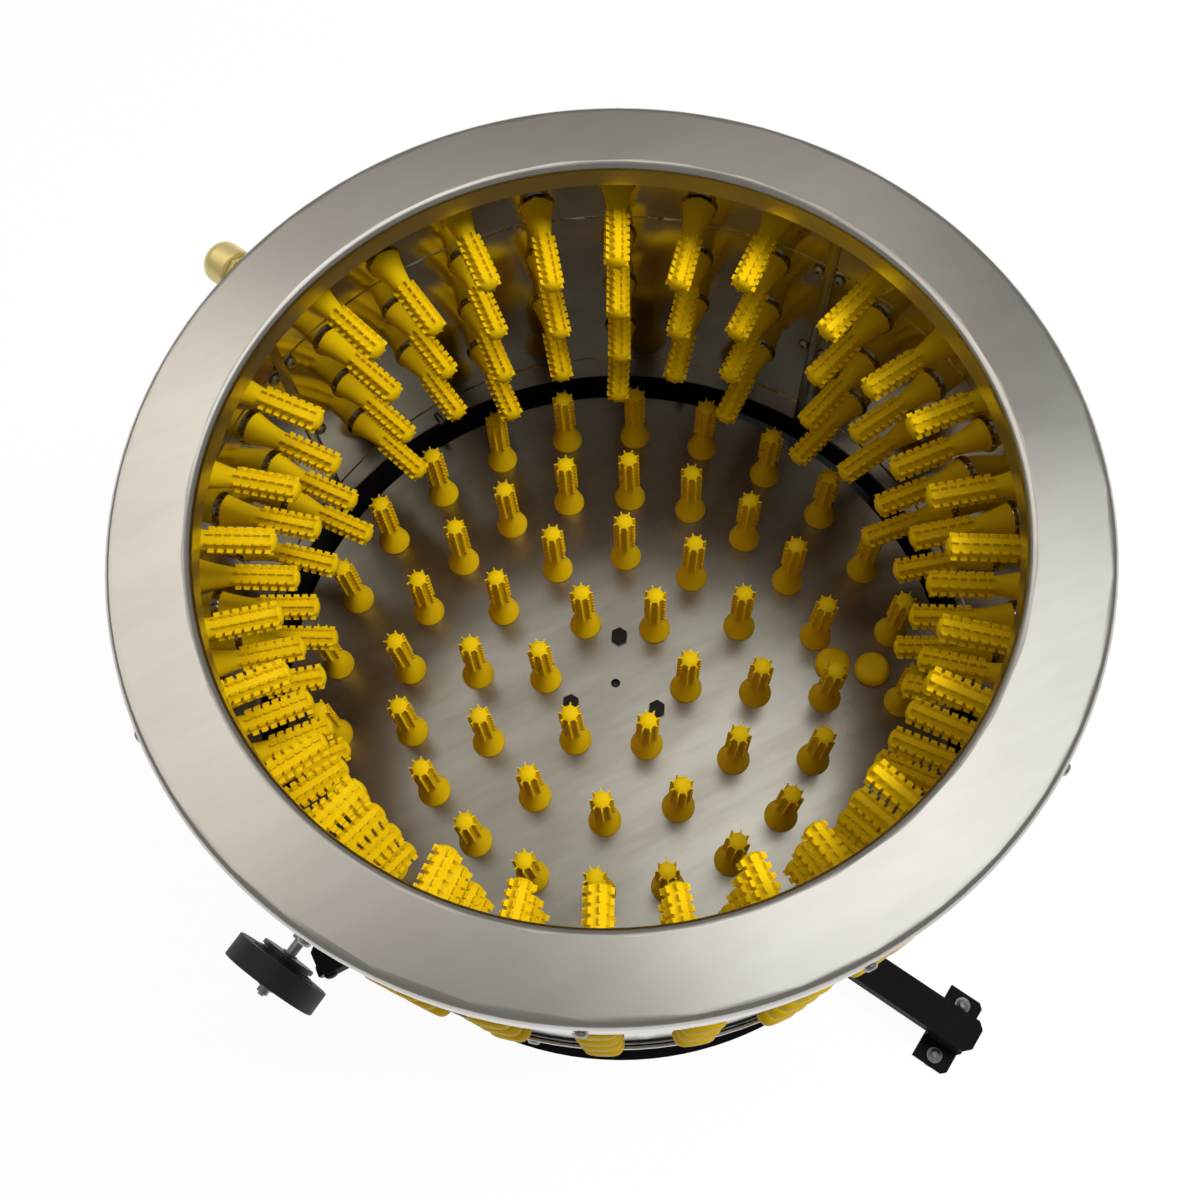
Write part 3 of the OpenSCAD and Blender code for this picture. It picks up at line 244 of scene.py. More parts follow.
def light_world(tint):
    """A plain room of one tint."""
    world = bpy.data.worlds.new("room")
    world.use_nodes = True
    bpy.context.scene.world = world
    world.node_tree.nodes["Background"].inputs["Color"].default_value = (*tint, 1)


# Node helpers

def add_node(tree, kind, **settings):
    """A shader node, with its properties and its inputs set by name."""
    node = tree.nodes.new("ShaderNode" + kind)
    for name, value in settings.items():
        label = name.replace("_", " ")
        if label in node.inputs:
            node.inputs[label].default_value = value
        else:
            setattr(node, name, value)
    return node


def new_group(name, inputs, output):
    """An empty node group with named number inputs and one output."""
    group = bpy.data.node_groups.new(name, "ShaderNodeTree")
    for label in inputs:
        group.interface.new_socket(label, in_out="INPUT", socket_type="NodeSocketFloat")
    group.interface.new_socket(output, in_out="OUTPUT", socket_type="NodeSocketFloat")
    return group, group.nodes.new("NodeGroupInput"), group.nodes.new("NodeGroupOutput")


def patches_group():
    """Cloudy patches from finger marks, water and polish, as a mask."""
    group, given, result = new_group("patches", ["Scale", "Edge"], "Mask")
    place = add_node(group, "TexCoord")
    cloud = add_node(group, "TexNoise", Detail=4.0, Roughness=0.6)
    low = add_node(group, "Math", operation="SUBTRACT")
    high = add_node(group, "Math", operation="ADD")
    spread = add_node(group, "MapRange")
    low.inputs[0].default_value = 0.5
    high.inputs[0].default_value = 0.5
    group.links.new(place.outputs["Object"], cloud.inputs["Vector"])
    group.links.new(given.outputs["Scale"], cloud.inputs["Scale"])
    group.links.new(given.outputs["Edge"], low.inputs[1])
    group.links.new(given.outputs["Edge"], high.inputs[1])
    group.links.new(cloud.outputs["Fac"], spread.inputs["Value"])
    group.links.new(low.outputs[0], spread.inputs["From Min"])
    group.links.new(high.outputs[0], spread.inputs["From Max"])
    group.links.new(spread.outputs["Result"], result.inputs["Mask"])
    return group


def grain_group():
    """Wipe marks of a sheet, drawn out along a slanting line."""
    group, given, result = new_group("grain", ["Fineness", "Stretch"], "Lines")
    place = add_node(group, "TexCoord")
    slant = add_node(group, "Mapping", Rotation=(0, 0, WIPE_TURN))
    across = add_node(group, "CombineXYZ", Y=1.0, Z=1.0)
    pull = add_node(group, "VectorMath", operation="MULTIPLY")
    lines = add_node(group, "TexNoise", Detail=3.0, Roughness=0.7)
    group.links.new(given.outputs["Stretch"], across.inputs["X"])
    group.links.new(place.outputs["Object"], slant.inputs["Vector"])
    group.links.new(slant.outputs["Vector"], pull.inputs[0])
    group.links.new(across.outputs[0], pull.inputs[1])
    group.links.new(pull.outputs[0], lines.inputs["Vector"])
    group.links.new(given.outputs["Fineness"], lines.inputs["Scale"])
    group.links.new(lines.outputs["Fac"], result.inputs["Lines"])
    return group


def skin_group():
    """Even pits and swells of sheet, paint, rubber or a casting."""
    group, given, result = new_group("skin", ["Fineness"], "Height")
    place = add_node(group, "TexCoord")
    swell = add_node(group, "TexNoise", Detail=2.0, Roughness=0.5)
    group.links.new(place.outputs["Object"], swell.inputs["Vector"])
    group.links.new(given.outputs["Fineness"], swell.inputs["Scale"])
    group.links.new(swell.outputs["Fac"], result.inputs["Height"])
    return group


PATCHES = patches_group()
GRAIN = grain_group()
SKIN = skin_group()


def place_group(tree, group, **values):
    """A group in a material, with its own values."""
    node = tree.nodes.new("ShaderNodeGroup")
    node.node_tree = group
    for label, value in values.items():
        node.inputs[label].default_value = value
    return node


def blend_colours(tree, mask, first, second):
    """A colour between two, by a mask."""
    mix = add_node(tree, "Mix", data_type="RGBA")
    mix.inputs["A"].default_value = (*first, 1)
    mix.inputs["B"].default_value = (*second, 1)
    tree.links.new(mask, mix.inputs["Factor"])
    return mix.outputs["Result"]


def blend_numbers(tree, mask, first, second, low=0.0, high=1.0):
    """A number between two, by a mask that runs from low to high."""
    spread = add_node(tree, "MapRange", From_Min=low, From_Max=high, To_Min=first, To_Max=second)
    tree.links.new(mask, spread.inputs["Value"])
    return spread.outputs["Result"]


def raise_skin(tree, shader, height, depth):
    """Bump from a height, of a depth in metres."""
    bump = add_node(tree, "Bump", Strength=1.0, Distance=depth)
    tree.links.new(height, bump.inputs["Height"])
    tree.links.new(bump.outputs["Normal"], shader.inputs["Normal"])


def new_finish(name, **settings):
    """A material and its shader, with the values that are the same all over."""
    material = bpy.data.materials.new(name)
    material.use_nodes = True
    shader = material.node_tree.nodes["Principled BSDF"]
    for label, value in settings.items():
        shader.inputs[label.replace("_", " ")].default_value = value
    return material, material.node_tree, shader


# Finishes

def sheet_steel(name, clean, dull, smooth, rough, patch_scale, swell):
    """Stainless sheet with wipe marks, cloudy handling marks and the slight waves of thin metal."""
    material, tree, shader = new_finish(name, Metallic=1.0)
    marks = place_group(tree, PATCHES, Scale=patch_scale, Edge=0.22)
    wipes = place_group(tree, GRAIN, Fineness=26.0, Stretch=0.22)
    waves = place_group(tree, SKIN, Fineness=7.0)
    streaks = blend_numbers(tree, wipes.outputs["Lines"], 0.0, 1.0, low=0.35, high=0.65)
    tree.links.new(blend_colours(tree, streaks, clean, dull), shader.inputs["Base Color"])
    tree.links.new(blend_numbers(tree, marks.outputs["Mask"], smooth, rough), shader.inputs["Roughness"])
    raise_skin(tree, shader, waves.outputs["Height"], swell)
    return material


def plain_metal(name, clean, dull, smooth, rough, patch_scale, metallic=1.0):
    """Plated, turned or cast metal with dull patches."""
    material, tree, shader = new_finish(name, Metallic=metallic)
    marks = place_group(tree, PATCHES, Scale=patch_scale, Edge=0.25)
    skin = place_group(tree, SKIN, Fineness=900.0)
    tree.links.new(blend_colours(tree, marks.outputs["Mask"], clean, dull), shader.inputs["Base Color"])
    tree.links.new(blend_numbers(tree, marks.outputs["Mask"], smooth, rough), shader.inputs["Roughness"])
    raise_skin(tree, shader, skin.outputs["Height"], METAL_RELIEF)
    return material


def moulded(name, clean, worn, smooth, rough, fineness, relief, patch_scale, gloss=0.5, fades=False):
    """Paint, plastic or rubber with an uneven skin and worn patches. The gloss may fade at a flat view."""
    material, tree, shader = new_finish(name, Specular_IOR_Level=gloss)
    marks = place_group(tree, PATCHES, Scale=patch_scale, Edge=0.25)
    skin = place_group(tree, SKIN, Fineness=fineness)
    tree.links.new(blend_colours(tree, marks.outputs["Mask"], clean, worn), shader.inputs["Base Color"])
    tree.links.new(blend_numbers(tree, marks.outputs["Mask"], smooth, rough), shader.inputs["Roughness"])
    if fades:
        facing = add_node(tree, "LayerWeight", Blend=0.5)
        shine = blend_numbers(tree, facing.outputs["Facing"], gloss, 0.0, low=0.55, high=0.88)
        tree.links.new(shine, shader.inputs["Specular IOR Level"])
    raise_skin(tree, shader, skin.outputs["Height"], relief)
    return material


FINISHES = {
    "rim_steel": sheet_steel(
        "rim_steel", clean=(0.58, 0.56, 0.53), dull=(0.54, 0.52, 0.49), smooth=0.22, rough=0.27,
        patch_scale=9.0, swell=0.0002),
    "wall_steel": sheet_steel(
        "wall_steel", clean=(0.47, 0.44, 0.38), dull=(0.41, 0.38, 0.32), smooth=0.08, rough=0.14,
        patch_scale=14.0, swell=0.0006),
    "plate_steel": sheet_steel(
        "plate_steel", clean=(0.40, 0.385, 0.34), dull=(0.31, 0.295, 0.255), smooth=0.21, rough=0.28,
        patch_scale=11.0, swell=0.0003),
    "finger_rubber": moulded(
        "finger_rubber", clean=(0.95, 0.64, 0.004), worn=(0.90, 0.60, 0.004), smooth=0.48, rough=0.60,
        fineness=700.0, relief=0.00002, patch_scale=60.0, gloss=0.12),
    "black_paint": moulded(
        "black_paint", clean=(0.008, 0.008, 0.0085), worn=(0.013, 0.013, 0.0135), smooth=0.34,
        rough=0.46, fineness=600.0, relief=0.00006, patch_scale=18.0, gloss=0.05, fades=True),
    "zinc": plain_metal(
        "zinc", clean=(0.44, 0.44, 0.43), dull=(0.34, 0.34, 0.33), smooth=0.36, rough=0.50,
        patch_scale=90.0),
    "black_bolt": moulded(
        "black_bolt", clean=(0.006, 0.006, 0.0065), worn=(0.012, 0.012, 0.0115), smooth=0.35,
        rough=0.50, fineness=900.0, relief=0.00002, patch_scale=90.0, gloss=0.2),
    "cast_pulley": plain_metal(
        "cast_pulley", clean=(0.30, 0.30, 0.31), dull=(0.20, 0.20, 0.21), smooth=0.38, rough=0.55,
        patch_scale=40.0),
    "brass": plain_metal(
        "brass", clean=(0.90, 0.74, 0.32), dull=(0.80, 0.65, 0.27), smooth=0.34, rough=0.46,
        patch_scale=90.0, metallic=0.6),
    "black_rubber": moulded(
        "black_rubber", clean=(0.015, 0.015, 0.015), worn=(0.03, 0.03, 0.03), smooth=0.6, rough=0.75,
        fineness=900.0, relief=0.00006, patch_scale=50.0),
    "motor_paint": moulded(
        "motor_paint", clean=(0.05, 0.055, 0.06), worn=(0.07, 0.075, 0.08), smooth=0.40, rough=0.52,
        fineness=500.0, relief=0.00008, patch_scale=30.0),
    "black_plastic": moulded(
        "black_plastic", clean=(0.013, 0.013, 0.014), worn=(0.022, 0.022, 0.023), smooth=0.42,
        rough=0.55, fineness=1100.0, relief=0.00005, patch_scale=40.0),
    "lid_plastic": moulded(
        "lid_plastic", clean=(0.27, 0.28, 0.29), worn=(0.23, 0.24, 0.25), smooth=0.40, rough=0.52,
        fineness=1100.0, relief=0.00005, patch_scale=40.0),
    "green_plastic": moulded(
        "green_plastic", clean=(0.02, 0.26, 0.06), worn=(0.02, 0.22, 0.05), smooth=0.25, rough=0.35,
        fineness=900.0, relief=0.00002, patch_scale=80.0),
    "red_plastic": moulded(
        "red_plastic", clean=(0.45, 0.015, 0.01), worn=(0.38, 0.013, 0.01), smooth=0.25, rough=0.35,
        fineness=900.0, relief=0.00002, patch_scale=80.0),
    "wheel_plastic": moulded(
        "wheel_plastic", clean=(0.014, 0.014, 0.015), worn=(0.024, 0.024, 0.025), smooth=0.38,
        rough=0.50, fineness=700.0, relief=0.00005, patch_scale=50.0),
    "tyre_rubber": moulded(
        "tyre_rubber", clean=(0.022, 0.022, 0.023), worn=(0.040, 0.040, 0.041), smooth=0.55, rough=0.7,
        fineness=700.0, relief=0.00008, patch_scale=40.0),
}


# Modelling helpers

def deselect_all():
    """Nothing selected, in object mode."""
    if bpy.context.mode != "OBJECT":
        bpy.ops.object.mode_set(mode="OBJECT")
    bpy.ops.object.select_all(action="DESELECT")


def select_only(*pieces):
    """These pieces selected, the first one active."""
    deselect_all()
    for piece in pieces:
        piece.select_set(True)
    bpy.context.view_layer.objects.active = pieces[0]


def smooth_piece(piece, angle):
    """Smooth faces, with edges sharper than the angle kept."""
    select_only(piece)
    bpy.ops.object.shade_smooth_by_angle(angle=math.radians(angle))


def apply_modifier(piece, kind, **settings):
    """Adds a modifier with its settings and applies it."""
    select_only(piece)
    modifier = piece.modifiers.new(kind.lower(), kind)
    for name, value in settings.items():
        setattr(modifier, name, value)
    bpy.ops.object.modifier_apply(modifier=modifier.name)


def finish_piece(piece, name, slot, body, *replaced):
    """Names a piece, gives it its finish and sets it on its body."""
    piece.name = name
    piece.data.name = name
    piece.data.materials.clear()
    piece.data.materials.append(FINISHES[slot])
    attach(piece, body)
    if replaced:
        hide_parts(*replaced)


def copies_at(master, places):
    """Copies of a piece at each place, joined into one piece. The master is removed."""
    copies = []
    for place in places:
        copy = master.copy()
        copy.data = master.data.copy()
        copy.data.transform(place)
        bpy.context.collection.objects.link(copy)
        copies.append(copy)
    bpy.data.objects.remove(master)
    select_only(*copies)
    bpy.ops.object.join()
    return bpy.context.object


def merged_copy(node):
    """A copy of a solid with its loose triangles joined, left in edit mode with all selected."""
    copy = solids[node].copy()
    copy.data = solids[node].data.copy()
    copy.parent = None
    bpy.context.collection.objects.link(copy)
    select_only(copy)
    bpy.ops.object.mode_set(mode="EDIT")
    bpy.ops.mesh.select_all(action="SELECT")
    bpy.ops.mesh.remove_doubles(threshold=MERGE_AT)
    return copy


def solid_middles(node):
    """Middle of each separate solid in a node."""
    merged_copy(node)
    bpy.ops.mesh.separate(type="LOOSE")
    bpy.ops.object.mode_set(mode="OBJECT")
    middles = []
    for part in list(bpy.context.selected_objects):
        corners = [vertex.co for vertex in part.data.vertices]
        middles.append(sum(corners, Vector()) / len(corners))
        bpy.data.objects.remove(part)
    return sorted(middles, key=lambda middle: tuple(round(value, 4) for value in middle))


def extrude_rings(piece, rings):
    """Draws a piece out of its first ring, ring by ring. Each ring lists its corners in order of turn."""
    bpy.ops.object.mode_set(mode="EDIT")
    for index, ring in enumerate(rings):
        if index:
            bpy.ops.mesh.extrude_region_move(TRANSFORM_OT_translate={"value": NUDGE})
        mesh = bmesh.from_edit_mesh(piece.data)
        round_order = sorted(
            (vertex for vertex in mesh.verts if vertex.select),
            key=lambda vertex: math.atan2(vertex.co.y, vertex.co.x),
        )
        for vertex, point in zip(round_order, ring):
            vertex.co = point
        bmesh.update_edit_mesh(piece.data)


def round_ring(radius, height, sides):
    """Corners of a round ring, in order of turn."""
    turns = [-math.pi + math.tau * (index + 0.5) / sides for index in range(sides)]
    return [(radius * math.cos(turn), radius * math.sin(turn), height) for turn in turns]


def hex_ring(radius, height, sides):
    """Corners of a hexagonal ring of a given width across its flats, in order of turn."""
    points = []
    for x, y, z in round_ring(radius, height, sides):
        off_flat = math.atan2(y, x) % (math.pi / 3) - math.pi / 6
        points.append((x / math.cos(off_flat), y / math.cos(off_flat), z))
    return points


def turned_piece(rings, angle):
    """A closed piece from a stack of rings with as many corners each."""
    deselect_all()
    bpy.ops.mesh.primitive_circle_add(vertices=len(rings[0]), radius=START_R, fill_type="NGON")
    piece = bpy.context.object
    extrude_rings(piece, rings)
    bpy.ops.mesh.select_all(action="SELECT")
    bpy.ops.mesh.normals_make_consistent(inside=False)
    smooth_piece(piece, angle)
    return piece


def turn_hoop(section, sides):
    """A closed hoop about Z from the corners of its section, each a radius and a height."""
    deselect_all()
    bpy.ops.mesh.primitive_circle_add(vertices=sides, radius=section[0][0])
    hoop = bpy.context.object
    extrude_rings(hoop, [round_ring(radius, height, sides) for radius, height in section])
    bpy.ops.mesh.select_all(action="DESELECT")
    bpy.ops.mesh.select_non_manifold(
        extend=False, use_wire=False, use_multi_face=False, use_non_contiguous=False, use_verts=False)
    bpy.ops.mesh.bridge_edge_loops()
    bpy.ops.mesh.select_all(action="SELECT")
    bpy.ops.mesh.normals_make_consistent(inside=False)
    smooth_piece(hoop, TURNED_CREASE)
    return hoop


# Rubber fingers

def bell_radius(height, foot):
    """Radius of the finger's smooth foot, from its width at the sheet."""
    share = max(0.0, 1 - height / BELL_L)
    edge = max(0.0, 1 - height / BELL_EDGE)
    return CORE_R + (foot - CORE_R) * share ** BELL_HOLLOW - BELL_EDGE_IN * BELL_EDGE * edge ** 2


def finger_rings(sheet, gap, foot):
    """Height, groove radius and rib radius of each ring, from the head to the tip."""
    back = -sheet - SEAT
    rings = []
    for depth, width in HEAD_RINGS:
        rings.append((back - HEAD_T * depth, HEAD_R * width, HEAD_R * width))
    rings.append((back, NECK_R, NECK_R))
    rings.append((gap, NECK_R, NECK_R))
    for height in (gap, *BELL_HEIGHTS):
        rings.append((height, bell_radius(height, foot), bell_radius(height, foot)))
    pitch = (TEETH_TO - TEETH_FROM) / (TEETH - 1 + TOOTH_SHARE)
    for tooth in range(TEETH):
        start = TEETH_FROM + tooth * pitch
        end = start + TOOTH_SHARE * pitch
        for height, rib in (
            (start - TOOTH_SLOPE, RIDGE_R), (start, RIB_R), (end, RIB_R), (end + TOOTH_SLOPE, RIDGE_R),
        ):
            core = bell_radius(height, foot)
            rings.append((height, core, max(core, rib)))
    groove, ridge = TIP_EDGE
    rings[-1] = (TEETH_TO + TOOTH_SLOPE, CORE_R * groove, CORE_R * ridge)
    for below, width in TIP_RINGS:
        rings.append((FINGER_L - below, CORE_R * width, CORE_R * width))
    return rings


def ribbed_ring(height, core, rib):
    """Corners of one ring: foot, top, top and foot of each rib, in order of turn."""
    if core == rib:
        return round_ring(core, height, 4 * RIBS)
    foot_turn = math.asin(RIB_FOOT_HALF / CORE_R)
    top_turn = math.asin(RIB_TOP_HALF / RIB_R)
    points = []
    for rib_index in range(RIBS):
        middle = -math.pi + math.tau * (rib_index + 0.5) / RIBS
        for radius, off in ((core, -foot_turn), (rib, -top_turn), (rib, top_turn), (core, foot_turn)):
            turn = middle + off
            points.append((radius * math.cos(turn), radius * math.sin(turn), height))
    return points


def mould_finger(sheet, gap, foot):
    """One finger through a sheet whose near face is at zero, pointing up."""
    return turned_piece([ribbed_ring(*ring) for ring in finger_rings(sheet, gap, foot)], FINGER_CREASE)


def lean_and_turn(chance):
    """A small lean and any turn about the finger's own length."""
    return (
        Matrix.Rotation(chance.uniform(-LEAN, LEAN), 4, "X")
        @ Matrix.Rotation(chance.uniform(-LEAN, LEAN), 4, "Y")
        @ Matrix.Rotation(chance.uniform(0, math.tau), 4, "Z")
    )


def wall_place(middle):
    """Turns a piece that points up so that it points from the wall to the drum's axis."""
    turn = math.atan2(middle.y - AXIS.y, middle.x - AXIS.x)
    out = Vector((math.cos(turn), math.sin(turn), 0))
    spot = AXIS + out * WALL_R + Vector((0, 0, middle.z))
    return Matrix.Translation(spot) @ (-out).to_track_quat("Z", "Y").to_matrix().to_4x4()


def add_wall_fingers():
    """Fingers in the drum wall, panel by panel, each with the raised steel collar of its hole."""
    chance = random.Random(WALL_SEED)
    gap = SEAT + BELL_R ** 2 / (2 * WALL_R)
    for node in WALL_FINGERS:
        places = [wall_place(middle) for middle in solid_middles(node)]
        master = mould_finger(WALL_SHEET, gap, BELL_R)
        fingers = copies_at(master, [place @ lean_and_turn(chance) for place in places])
        finish_piece(fingers, node + "_moulded", "finger_rubber", body_of[node], node)
        collars = copies_at(turn_hoop(COLLAR_SECTION, COLLAR_SIDES), places)
        finish_piece(collars, node + "_collars", "wall_steel", body_of[node])


def add_plate_fingers():
    """Upright fingers on the feather plate and the two that sweep below it."""
    chance = random.Random(PLATE_SEED)
    sheet = PLATE_TOP - PLATE_LOW
    upright = [
        Matrix.Translation((middle.x, middle.y, PLATE_TOP)) @ lean_and_turn(chance)
        for middle in solid_middles("plate_fingers")
    ]
    fingers = copies_at(mould_finger(sheet, SEAT, PLATE_BELL_R), upright)
    finish_piece(fingers, "plate_fingers_moulded", "finger_rubber", "feather_drive", "plate_fingers")
    hanging = [
        Matrix.Translation((middle.x, middle.y, PLATE_LOW)) @ Matrix.Rotation(math.pi, 4, "X")
        for middle in solid_middles("sweeper_fingers")
    ]
    sweepers = copies_at(mould_finger(sheet, SEAT, PLATE_BELL_R), hanging)
    finish_piece(sweepers, "sweeper_fingers_moulded", "finger_rubber", "feather_drive", "sweeper_fingers")


# Drum wall

def add_seam_covers():
    """A flat strip on the inside of the wall over each joint of two panels."""
    low = WALL_LOW + COVER_FROM_FOOT
    high = RIM_TOP - COVER_FROM_RIM
    deselect_all()
    bpy.ops.mesh.primitive_cube_add(size=1, location=(WALL_R - COVER_T / 2, 0, (low + high) / 2))
    strip = bpy.context.object
    strip.scale = (COVER_T, COVER_W, high - low)
    bpy.ops.object.transform_apply(location=True, rotation=True, scale=True)
    apply_modifier(strip, "BEVEL", width=COVER_EDGE, segments=2)
    smooth_piece(strip, TURNED_CREASE)
    turns = [
        Matrix.Translation(AXIS) @ Matrix.Rotation(math.tau * index / len(PANELS), 4, "Z")
        for index in range(len(PANELS))
    ]
    covers = copies_at(strip, turns)
    finish_piece(covers, "seam_covers", "plate_steel", body_of["seam_straps"])


def add_wall_bands():
    """A black band of painted shade and a steel hoop round the outside of the wall, over the tub's edge.
    """
    outside = WALL_R + WALL_SHEET
    for name, band, slot in (("wall_shade_band", SHADE_BAND, "black_rubber"), ("wall_hoop", HOOP, "rim_steel")):
        inner, outer, low, high = band
        edge = (outer - inner) / 4
        section = [
            (outside + inner, WALL_LOW + low), (outside + outer - edge, WALL_LOW + low),
            (outside + outer, WALL_LOW + low + edge), (outside + outer, WALL_LOW + high - edge),
            (outside + outer - edge, WALL_LOW + high), (outside + inner, WALL_LOW + high),
        ]
        hoop = turn_hoop(section, BAND_SIDES)
        hoop.data.transform(Matrix.Translation(AXIS))
        finish_piece(hoop, name, slot, body_of["base_tub"])


def round_the_wall():
    """Stands a copy in for each panel, with its faces shaded as one even curve."""
    for node in PANELS:
        panel = merged_copy(node)
        bpy.ops.object.mode_set(mode="OBJECT")
        smooth_piece(panel, TURNED_CREASE)
        mesh = panel.data
        normals = [Vector(corner.vector) for corner in mesh.corner_normals]
        for face in mesh.polygons:
            if abs(face.normal.z) > SLOPED_FACE:
                continue
            level = Vector((face.normal.x, face.normal.y, 0))
            for corner in face.loop_indices:
                spot = mesh.vertices[mesh.loops[corner].vertex_index].co - AXIS
                out = Vector((spot.x, spot.y, 0)).normalized()
                if abs(out.dot(level)) > ROUND_FACE:
                    normals[corner] = out if out.dot(level) > 0 else -out
        mesh.normals_split_custom_set(normals)
        finish_piece(panel, node + "_polished", slot_of[node], body_of[node], node)


# Screws, tyres and small trim

def socket_screw(d, length):
    """A button screw with a hexagonal socket, its head standing on zero."""
    rings = [
        round_ring(SHANK_END_R * d, -length, SCREW_SIDES),
        round_ring(SHANK_R * d, SHANK_CHAMFER * d - length, SCREW_SIDES),
        round_ring(SHANK_R * d, 0, SCREW_SIDES),
    ]
    rings += [round_ring(radius * d, height * d, SCREW_SIDES) for radius, height in HEAD_STEPS]
    rings += [hex_ring(radius * d, height * d, SCREW_SIDES) for radius, height in SOCKET_STEPS]
    return turned_piece(rings, TURNED_CREASE)


def away_from_axis(middle):
    """Level direction from the drum's axis to a point."""
    return Vector((middle.x - AXIS.x, middle.y - AXIS.y, 0)).normalized()


def dress_screws(node, axis_of):
    """Stands socket screws in for a node's plain ones. Its washers and nuts get a small bevel."""
    merged_copy(node)
    bpy.ops.mesh.separate(type="LOOSE")
    bpy.ops.object.mode_set(mode="OBJECT")
    places, rest = [], []
    for part in list(bpy.context.selected_objects):
        corners = [vertex.co.copy() for vertex in part.data.vertices]
        axis = axis_of(sum(corners, Vector()) / len(corners))
        turn = axis.to_track_quat("Z", "Y").to_matrix()
        local = [turn.transposed() @ corner for corner in corners]
        low = Vector(min(corner[index] for corner in local) for index in range(3))
        high = Vector(max(corner[index] for corner in local) for index in range(3))
        d = (high.y - low.y) / HEAD_WIDTH
        if high.z - low.z < d:
            apply_modifier(part, "BEVEL", width=WASHER_EDGE, segments=2, limit_method="ANGLE")
            smooth_piece(part, SOLID_CREASE)
            rest.append(part)
            continue
        spot = Vector(((low.x + high.x) / 2, (low.y + high.y) / 2, high.z - HEAD_SHARE * d))
        places.append(Matrix.Translation(turn @ spot) @ turn.to_4x4())
        length = spot.z - low.z
        bpy.data.objects.remove(part)
    screws = copies_at(socket_screw(d, length), places)
    if rest:
        select_only(screws, *rest)
        bpy.ops.object.join()
    finish_piece(screws, node + "_dressed", slot_of[node], body_of[node], node)


def add_tyres():
    """Flat-treaded tyres with crisp shoulders."""
    for node in ("left_tyre", "right_tyre"):
        low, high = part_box(node)
        half = (high.x - low.x) / 2
        outer = (high.z - low.z) / 2
        inner = outer - TYRE_DEPTH
        edge = TYRE_EDGE
        section = [
            (inner, edge - half), (inner + edge, -half), (outer - edge, -half), (outer, edge - half),
            (outer, half - edge), (outer - edge, half), (inner + edge, half), (inner, half - edge),
        ]
        tyre = turn_hoop(section, TYRE_SIDES)
        tyre.data.transform(Matrix.Translation((low + high) / 2) @ Matrix.Rotation(math.pi / 2, 4, "Y"))
        finish_piece(tyre, node + "_rolled", slot_of[node], body_of[node], node)


def add_arm_bolts():
    """A black bolt on a bush at the end of each rear arm."""
    places = []
    for side in (-1, 1):
        along = Vector((side * math.cos(REAR_TURN), math.sin(REAR_TURN), 0))
        across = Vector((side * math.sin(REAR_TURN), -math.cos(REAR_TURN), 0))
        spot = AXIS + along * ARM_BOLT_AT + across * ARM_HALF_W + Vector((0, 0, ARM_BOLT_Z))
        places.append(Matrix.Translation(spot) @ across.to_track_quat("Z", "Y").to_matrix().to_4x4())
    rings = [round_ring(radius, height, SCREW_SIDES) for radius, height in ARM_BOLT_STEPS]
    rings += [hex_ring(radius, height, SCREW_SIDES) for radius, height in ARM_SOCKET_STEPS]
    bolts = copies_at(turned_piece(rings, TURNED_CREASE), places)
    finish_piece(bolts, "arm_bolts", "black_bolt", body_of["rear_arms"])


def add_hub_shoulders():
    """A stepped shoulder on the inner side of each wheel, deeper on the right one."""
    for side, hub, tyre in ((-1, "left_hub", "left_tyre"), (1, "right_hub", "right_tyre")):
        hub_low, hub_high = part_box(hub)
        tyre_low, tyre_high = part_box(tyre)
        hub_face = hub_high.x if side < 0 else hub_low.x
        tyre_face = tyre_high.x if side < 0 else tyre_low.x
        depth = abs(hub_face - FLANGE_T - tyre_face) + SHOULDER_LAP
        rings = [round_ring(radius, depth * share, SHOULDER_SIDES) for radius, share in SHOULDER_STEPS]
        shoulder = turned_piece(rings, TURNED_CREASE)
        middle = (tyre_low + tyre_high) / 2
        foot = Vector((tyre_face - side * (depth - SHOULDER_LAP / 2), middle.y, middle.z))
        turn = Vector((side, 0, 0)).to_track_quat("Z", "Y").to_matrix().to_4x4()
        shoulder.data.transform(Matrix.Translation(foot) @ turn)
        finish_piece(shoulder, hub + "_shoulder", slot_of[hub], body_of[hub])


def add_shaft_shade_plug():
    """A black plug in the hole at the top of the shaft, painted shade that makes the hole look dark."""
    rings = [round_ring(radius, height, SCREW_SIDES) for radius, height in SHADE_PLUG_STEPS]
    plug = turned_piece(rings, TURNED_CREASE)
    plug.data.transform(Matrix.Translation(AXIS + Vector((0, 0, PLATE_LOW - SHADE_PLUG_SINK))))
    finish_piece(plug, "shaft_shade_plug", "black_rubber", "feather_drive")


# Carried-over solids

def soften(node, width):
    """Stands a copy with rounded edges in for a solid."""
    piece = merged_copy(node)
    bpy.ops.mesh.dissolve_limited(angle_limit=math.radians(FLAT_BELOW))
    bpy.ops.object.mode_set(mode="OBJECT")
    if width:
        apply_modifier(
            piece, "BEVEL", width=width, segments=2, limit_method="ANGLE",
            angle_limit=math.radians(BEVEL_FROM))
    smooth_piece(piece, SOLID_CREASE)
    apply_modifier(piece, "WEIGHTED_NORMAL", keep_sharp=True)
    finish_piece(piece, node + "_dressed", slot_of[node], body_of[node], node)


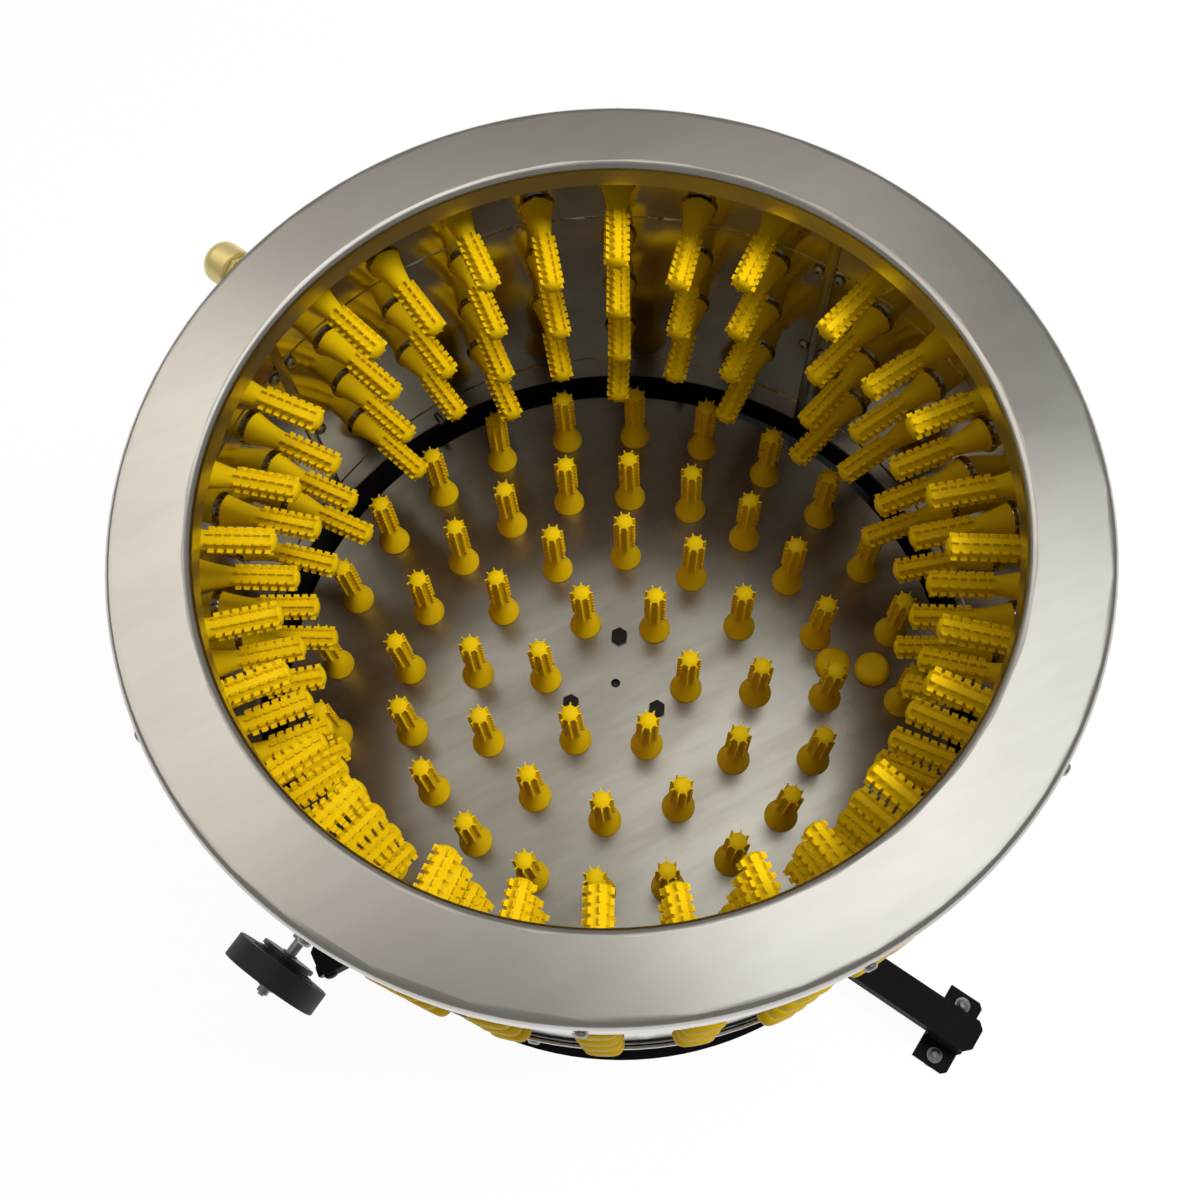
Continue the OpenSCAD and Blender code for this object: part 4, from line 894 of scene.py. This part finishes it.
# Round of each solid's edges. At zero only its faces are smoothed
EDGES = {
    "rim_ring": 0.0, "hose_nut": 0.0, "hose_stem": 0.0003, "front_arm": 0.0010, "rear_arms": 0.0010,
    "leg_posts": 0.0008, "foot_plate": 0.0008, "hub_plate": 0.0008, "axle_lugs": 0.0008, "axle": 0.0004,
    "axle_nuts": 0.0004, "rubber_feet": 0.0006, "left_hub": 0.0006, "right_hub": 0.0006,
    "switch_box": 0.0015, "switch_lid": 0.0010, "terminal_box": 0.0015, "drive_plate": 0.0005,
    "plate_bolts": 0.0003, "drive_bolts": 0.0004, "leg_bolts": 0.0004, "standoffs": 0.0004,
    "base_tub": 0.0006, "feather_chute": 0.0006, "motor_housing": 0.0008, "motor_cover": 0.0010,
    "shaft_pulley": 0.0005, "motor_pulley": 0.0005, "lower_bearing": 0.0008, "upper_bearing": 0.0008,
    "main_shaft": 0.0004, "motor_shaft": 0.0003, "seam_straps": 0.0003, "spray_ring": 0.0,
    "spray_clips": 0.0003, "rim_spacers": 0.0003, "drive_belt": 0.0005, "plate_hub": 0.0005,
    "hose_washer": 0.0, "switch_screws": 0.0002, "start_button": 0.0012, "stop_button": 0.0012,
    "cable_gland": 0.0004,
}


def dress_solids():
    """Gives every solid the finish of its slot, and the edges of the larger ones a small round."""
    for node, solid in solids.items():
        solid.data.materials.clear()
        solid.data.materials.append(FINISHES[slot_of[node]])
    for node, width in EDGES.items():
        soften(node, width)


# Stage

def add_floor():
    """A white floor that keeps the object's shadow."""
    deselect_all()
    bpy.ops.mesh.primitive_plane_add(size=FLOOR_SIZE, location=(0, 0, FLOOR_Z))
    floor = bpy.context.object
    floor.name = "floor"
    white = (FLOOR_WHITE, FLOOR_WHITE, FLOOR_WHITE, 1)
    material, tree, shader = new_finish("floor", Base_Color=white, Roughness=0.9)
    glow = add_node(tree, "Emission", Strength=FLOOR_GLOW)
    rays = add_node(tree, "LightPath")
    mirrored = add_node(tree, "Math", operation="MAXIMUM")
    seen = add_node(tree, "Math", operation="MAXIMUM")
    share = add_node(tree, "Math", operation="MULTIPLY")
    share.inputs[1].default_value = FLOOR_GLOW_SHARE
    mix = add_node(tree, "MixShader")
    tree.links.new(rays.outputs["Is Glossy Ray"], mirrored.inputs[0])
    tree.links.new(rays.outputs["Is Transmission Ray"], mirrored.inputs[1])
    tree.links.new(rays.outputs["Is Camera Ray"], seen.inputs[0])
    tree.links.new(mirrored.outputs[0], seen.inputs[1])
    tree.links.new(seen.outputs[0], share.inputs[0])
    tree.links.new(share.outputs[0], mix.inputs["Fac"])
    tree.links.new(shader.outputs["BSDF"], mix.inputs[1])
    tree.links.new(glow.outputs["Emission"], mix.inputs[2])
    tree.links.new(mix.outputs["Shader"], tree.nodes["Material Output"].inputs["Surface"])
    floor.data.materials.append(material)


bpy.context.scene.view_settings.view_transform = "Standard"
add_camera()
light_world(tint=(0.25, 0.24, 0.225))
add_softbox("left_lamp", turn=97, rise=50, distance=2.4, size=1.7, glow=0.92, tint=(1.0, 0.96, 0.86))
add_softbox("right_lamp", turn=-43, rise=69, distance=2.4, size=1.6, glow=1.2, tint=(0.98, 1.0, 0.99))
add_softbox(
    "side_lamp", turn=-56, rise=56, distance=2.4, size=0.8, glow=21.0, tint=(1.0, 0.99, 0.96),
    in_metal=False)
add_softbox("ceiling_lamp", turn=42, rise=67, distance=2.6, size=2.0, glow=0.42, tint=(1.0, 0.95, 0.88))
add_floor()
dress_solids()
round_the_wall()
add_seam_covers()
add_wall_bands()
add_wall_fingers()
add_plate_fingers()
for screws in ("rim_screws", "tub_screws"):
    dress_screws(screws, away_from_axis)
dress_screws("seam_bolts", lambda middle: -away_from_axis(middle))
dress_screws("foot_bolts", lambda middle: Vector((0, 0, 1)))
add_tyres()
add_hub_shoulders()
add_arm_bolts()
add_shaft_shade_plug()
